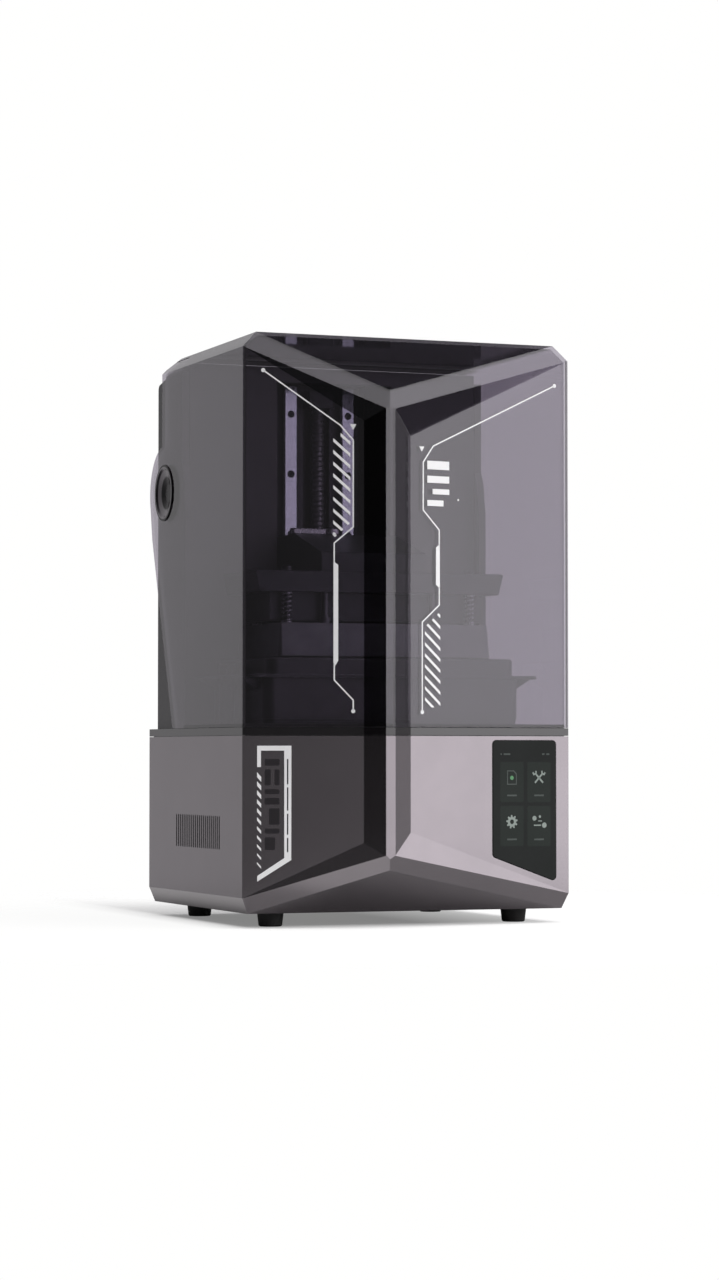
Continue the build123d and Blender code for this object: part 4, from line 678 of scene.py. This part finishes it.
def coil(centre, low, high, radius, turns, close=1.5, steps=20):
    """Points of a compression spring whose turns lie close at each end."""
    total = turns + 2 * close
    climb = CLOSE_CLIMB * SPRING_WIRE
    points = []
    for i in range(int(total * steps) + 1):
        t = i / steps
        if t < close:
            z = low + climb * t / close
        elif t > total - close:
            z = high - climb * (total - t) / close
        else:
            z = low + climb + (high - low - 2 * climb) * (t - close) / turns
        a = math.tau * t
        points.append(Vector((centre[0] + radius * math.cos(a),
                              centre[1] + radius * math.sin(a), z)) * MM)
    return points


springs = bmesh.new()
low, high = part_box("levelling_springs")
spring_x, spring_y = high.x / MM - SPRING_OUTER, high.y / MM - SPRING_OUTER
for x in (-spring_x, spring_x):
    for y in (-spring_y, spring_y):
        tube(springs, coil((x, y), low.z / MM + SPRING_WIRE, high.z / MM - SPRING_WIRE,
                           SPRING_OUTER - SPRING_WIRE, SPRING_TURNS), SPRING_WIRE * MM)
spring_piece = finish_mesh(springs, "plate_springs", LOOKS["bright_steel"], "platform",
                           smooth=True)
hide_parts("levelling_springs")


def thread(mesh, centre, low, high, core, crest, lead, steps=24):
    """A rolled ball-screw bar: its surface dips along a helix of the given lead."""
    foot = core + 0.15       # the groove is rounded off up to here
    # the share of one turn, and the radius there
    profile = [(0.0, crest), (0.28, crest), (0.42, foot), (0.5, core), (0.58, core),
               (0.72, foot), (0.86, crest)]
    rows = int((high - low) / lead * len(profile))
    rings = []
    for i in range(rows + 1):
        z = low + (high - low) * i / rows
        ring = []
        for k in range(steps):
            phase = (z / lead - k / steps) % 1.0
            r = crest
            for (f0, r0), (f1, r1) in zip(profile, profile[1:] + [(1.0, crest)]):
                if f0 <= phase <= f1:
                    r = r0 + (r1 - r0) * (phase - f0) / (f1 - f0)
            if i in (0, rows):
                r = core
            a = math.tau * k / steps
            ring.append(mesh.verts.new(Vector((centre[0] + r * math.cos(a),
                                               centre[1] + r * math.sin(a), z)) * MM))
        rings.append(ring)
    skin(mesh, rings)


screw = bmesh.new()
low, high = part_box("ball_screw")
screw_y = (low.y + high.y) / 2 / MM
thread(screw, (0, screw_y), low.z / MM, high.z / MM, core=5.0, crest=6.0, lead=5.0)
screw_piece = finish_mesh(screw, "threaded_screw", DARKER_SCREW_STEEL, "lead_screw",
                          smooth=True)
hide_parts("ball_screw")


HEAD_SIDES = 24
CHAMFER = (0.8, 0.9)     # a head's chamfer: its foot in heights, its top in radii
RECESS = 0.55            # the key recess's depth in heights


def cap_screws(name, places, axis, radius, height, body, slot, key=0.5):
    """Socket-head screws: a chamfered round head with a six-sided recess."""
    mesh = bmesh.new()
    axis = Vector(axis).normalized()
    side = axis.orthogonal().normalized()
    third = axis.cross(side)
    chamfer_foot, chamfer_top = CHAMFER
    rows = [(radius, 0.0), (radius, height * chamfer_foot), (radius * chamfer_top, height)]
    angles = [math.tau * k / HEAD_SIDES for k in range(HEAD_SIDES)]
    sixth = math.tau / 6
    for place in places:
        start = Vector(place)
        rings = []
        for r, up in rows:
            rings.append([mesh.verts.new((start + axis * up + (
                side * math.cos(a) + third * math.sin(a)) * r) * MM) for a in angles])
        for depth in (0.0, height * RECESS):
            ring = []
            for a in angles:
                flat = math.cos(sixth / 2) / math.cos(a % sixth - sixth / 2)
                ring.append(mesh.verts.new((start + axis * (height - depth) + (
                    side * math.cos(a) + third * math.sin(a)) * radius * key * flat) * MM))
            rings.append(ring)
        skin(mesh, rings)
    return finish_mesh(mesh, name, LOOKS[slot], body, smooth=True)


SEATED = 0.1             # how deep the screw heads sit in the cover
tower_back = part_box("rear_housing")[1].y / MM
cap_screws("tower_cover_screws",
           [(x, tower_back - SEATED, z) for x in (-140, 140) for z in (200, 300, 400, 505)],
           axis=(0, 1, 0), radius=3.4, height=1.8, body="base", slot="black_screw")

# ---------------------------------------------------------------- studio
scene = bpy.context.scene
scene.view_settings.view_transform = "Standard"
scene.view_settings.look = "None"

STUDIO_WHITE = (1, 1, 0.995, 1)
STUDIO_DARK = (0.03, 0.03, 0.032, 1)

FLOOR_RINGS = (0.4, 0.8)     # radii in metres
FLOOR_SIDES = 64
FLOOR_FADE = (0.34, 0.72)    # where the floor fades into the white background
FLOOR_PAINT = (0.93, 0.93, 0.925, 1)
# what the gloss sees of the floor: light past the printer's left side and before it
SPILL_LIGHT = 0.75
SPILL_SIDE = (-0.18, -0.165)     # X between which the light beside it ends
SPILL_FRONT = (-0.195, -0.175)   # Y between which the light before it ends
SPILL_RIGHT = (-0.05, 0.03)      # X between which both end towards the right
SPILL_REACH = (0.33, 0.40)       # radii between which both end
# what the camera sees: how much of the floor is plain white light, not lit paint
OPEN_LIGHT = 0.58            # round the printer
SIDE_LIGHT = 0.34            # added past its left side, where the photo's floor is clear
CLEAR_SIDE = (-0.19, -0.158)     # X between which that ends
SHADOW_DEPTH = 0.36          # taken away under and behind the printer
SHADOW_LEFT = (-0.158, -0.146)   # X between which the shadow sets in
SHADOW_FRONT = (-0.135, -0.07)   # Y between which it sets in
SHADOW_RIGHT = (0.03, 0.13)      # X between which it weakens
SHADOW_REST = 0.4                # to this share


def make_floor():
    """A flat disc round the printer."""
    mesh = bmesh.new()
    centre = mesh.verts.new((0, 0, 0))
    previous = None
    for reach in FLOOR_RINGS:
        ring = [mesh.verts.new((reach * math.cos(math.tau * k / FLOOR_SIDES),
                                reach * math.sin(math.tau * k / FLOOR_SIDES), 0))
                for k in range(FLOOR_SIDES)]
        for k in range(FLOOR_SIDES):
            n = (k + 1) % FLOOR_SIDES
            if previous is None:
                mesh.faces.new((centre, ring[k], ring[n]))
            else:
                mesh.faces.new((previous[k], ring[k], ring[n], previous[n]))
        previous = ring
    data = bpy.data.meshes.new("floor")
    mesh.to_mesh(data)
    mesh.free()
    made = bpy.data.objects.new("floor", data)
    scene.collection.objects.link(made)
    return made


def floor_look():
    """Pale paint that fades out to the background, with the shadow kept where it falls."""
    made, tree = new_material("floor")
    point = object_point(tree)
    away = add_node(tree, "ShaderNodeVectorMath", {0: point}, operation="LENGTH")
    reach = away.outputs["Value"]
    place = add_node(tree, "ShaderNodeSeparateXYZ", {"Vector": point})
    x, y = place.outputs["X"], place.outputs["Y"]
    rays = add_node(tree, "ShaderNodeLightPath")
    lit = add_node(tree, "ShaderNodeBsdfDiffuse", {"Color": FLOOR_PAINT})
    # brighter in reflections towards the viewer's left, as under a lamp on that side
    beside = remap(tree, x, *SPILL_SIDE, 1.0, 0.0)
    ahead = remap(tree, y, *SPILL_FRONT, 1.0, 0.0)
    spill = math_node(tree, "MULTIPLY", remap(tree, x, *SPILL_RIGHT, SPILL_LIGHT, 0.0),
                      math_node(tree, "MULTIPLY", math_node(tree, "MAXIMUM", beside, ahead),
                                remap(tree, reach, *SPILL_REACH, 1.0, 0.0)))
    strength = add_node(tree, "ShaderNodeMix", {
        0: rays.outputs["Is Camera Ray"], 2: spill, 3: 1.0}, data_type="FLOAT")
    lift = add_node(tree, "ShaderNodeEmission", {
        "Color": STUDIO_WHITE, "Strength": strength.outputs[0]})
    # the shadow lies under and behind the printer, and is fainter towards its right
    under = math_node(tree, "MULTIPLY", remap(tree, x, *SHADOW_LEFT, 0.0, 1.0),
                      remap(tree, y, *SHADOW_FRONT, 0.0, 1.0))
    under = math_node(tree, "MULTIPLY", under,
                      remap(tree, x, *SHADOW_RIGHT, 1.0, SHADOW_REST))
    clear_side = remap(tree, x, *CLEAR_SIDE, 1.0, 0.0)
    light = math_node(tree, "SUBTRACT",
                      math_node(tree, "MULTIPLY_ADD", clear_side, SIDE_LIGHT, OPEN_LIGHT),
                      math_node(tree, "MULTIPLY", under, SHADOW_DEPTH))
    near = add_node(tree, "ShaderNodeMixShader", {
        0: light, 1: lit.outputs[0], 2: lift.outputs[0]})
    gone = add_node(tree, "ShaderNodeBsdfTransparent")
    fade = remap(tree, reach, *FLOOR_FADE, 0.0, 1.0)
    whole = add_node(tree, "ShaderNodeMixShader", {
        0: fade, 1: near.outputs[0], 2: gone.outputs[0]})
    out = add_node(tree, "ShaderNodeOutputMaterial")
    tree.links.new(whole.outputs[0], out.inputs["Surface"])
    return made


floor = make_floor()
floor.data.materials.append(floor_look())

# azimuth from the front towards the viewer's right, and how bright the room is there
ROOM = [(-180, 0.52), (-150, 0.50), (-110, 0.14), (-75, 0.015), (-35, 0.035), (-12, 0.105),
        (6, 0.9), (20, 1.75), (45, 2.15), (72, 2.25), (95, 0.30), (130, 0.3), (180, 0.52)]
BRIGHTEST = 2.3              # what a ramp colour of 1 stands for
# heights are those on a sphere of radius 1
WALL_TOP = (0.66, 0.76)      # the walls grow brighter between these
TOP_GAIN = 1.5               # by this much
CEILING = (0.80, 0.90)       # and end in the dark ceiling between these
GROUND = (-0.12, -0.36)      # the room goes dark low down between these
BEHIND = (-0.2, 0.5)         # Y between which that sinks towards the back
SINK = 0.24                  # by this much


def light_room():
    """White to the camera, and to the gloss a soft grey range of brightness all round."""
    world = bpy.data.worlds.new("studio")
    scene.world = world
    world.use_nodes = True
    tree = world.node_tree
    tree.nodes.clear()
    way = add_node(tree, "ShaderNodeTexCoord")
    parts = add_node(tree, "ShaderNodeSeparateXYZ", {"Vector": way.outputs["Generated"]})
    up = parts.outputs["Z"]
    azimuth = math_node(tree, "ARCTAN2", parts.outputs["X"], math_node(
        tree, "MULTIPLY", parts.outputs["Y"], -1.0))
    ramp = add_node(tree, "ShaderNodeValToRGB", {
        "Fac": remap(tree, azimuth, -math.pi, math.pi, 0.0, 1.0)})
    ramp.color_ramp.interpolation = "EASE"
    stops = ramp.color_ramp.elements
    while len(stops) < len(ROOM):
        stops.new(0.5)
    # all the places first, since moving a stop can change the stops' order
    for stop, (degrees, _) in zip(stops, ROOM):
        stop.position = (degrees + 180) / 360
    for stop, (_, level) in zip(stops, ROOM):
        grey = level / BRIGHTEST
        stop.color = (grey, grey * 0.98, grey * 1.005, 1)
    walls = add_node(tree, "ShaderNodeVectorMath", {
        0: ramp.outputs["Color"], "Scale": remap(tree, up, *WALL_TOP, 1.0, TOP_GAIN)},
        operation="SCALE")
    sky = blend_colour(tree, remap(tree, up, *CEILING, 0.0, 1.0), walls.outputs[0], STUDIO_DARK)
    # behind the printer the room stays light further down
    sink = remap(tree, parts.outputs["Y"], *BEHIND, 0.0, SINK)
    low_down = remap(tree, math_node(tree, "ADD", up, sink), *GROUND, 0.0, 1.0)
    sky = blend_colour(tree, low_down, sky, STUDIO_DARK)
    room = add_node(tree, "ShaderNodeBackground", {"Color": sky, "Strength": BRIGHTEST})
    plain = add_node(tree, "ShaderNodeBackground", {"Color": STUDIO_WHITE, "Strength": 1.0})
    rays = add_node(tree, "ShaderNodeLightPath")
    seen = add_node(tree, "ShaderNodeMixShader", {
        0: rays.outputs["Is Camera Ray"], 1: room.outputs[0], 2: plain.outputs[0]})
    out = add_node(tree, "ShaderNodeOutputWorld")
    tree.links.new(seen.outputs[0], out.inputs["Surface"])


light_room()
MIDDLE = Vector((0, 0, 0.27))    # the printer's middle


def soft_light(name, azimuth, elevation, distance, size, watts):
    """A softbox aimed at the printer's middle."""
    data = bpy.data.lights.new(name, "AREA")
    data.shape = "RECTANGLE"
    data.size, data.size_y = size
    data.energy = watts
    lamp = bpy.data.objects.new(name, data)
    a, e = math.radians(azimuth), math.radians(elevation)
    away = Vector((math.sin(a) * math.cos(e), -math.cos(a) * math.cos(e), math.sin(e)))
    lamp.location = MIDDLE + away * distance
    lamp.rotation_euler = (-away).to_track_quat("-Z", "Y").to_euler()
    lamp.visible_glossy = False
    scene.collection.objects.link(lamp)


soft_light("overhead", azimuth=40, elevation=80, distance=2.6, size=(2.6, 2.6), watts=62)
soft_light("key", azimuth=40, elevation=56, distance=3.0, size=(1.3, 1.3), watts=24)

# ---------------------------------------------------------------- camera
# place, pitch and turn as fitted to the photograph's corners
CAMERA_AT = (-1.1398, -2.9339, 0.1608)
CAMERA_PITCH, CAMERA_TURN = 91.98, -21.17
CAMERA_LENS = 91.67
camera_data = bpy.data.cameras.new("camera")
camera_data.sensor_width = 36
camera_data.lens = CAMERA_LENS
camera_data.clip_start, camera_data.clip_end = 0.05, 60
camera = bpy.data.objects.new("camera", camera_data)
camera.location = CAMERA_AT
camera.rotation_euler = (math.radians(CAMERA_PITCH), 0, math.radians(CAMERA_TURN))
scene.collection.objects.link(camera)
scene.camera = camera
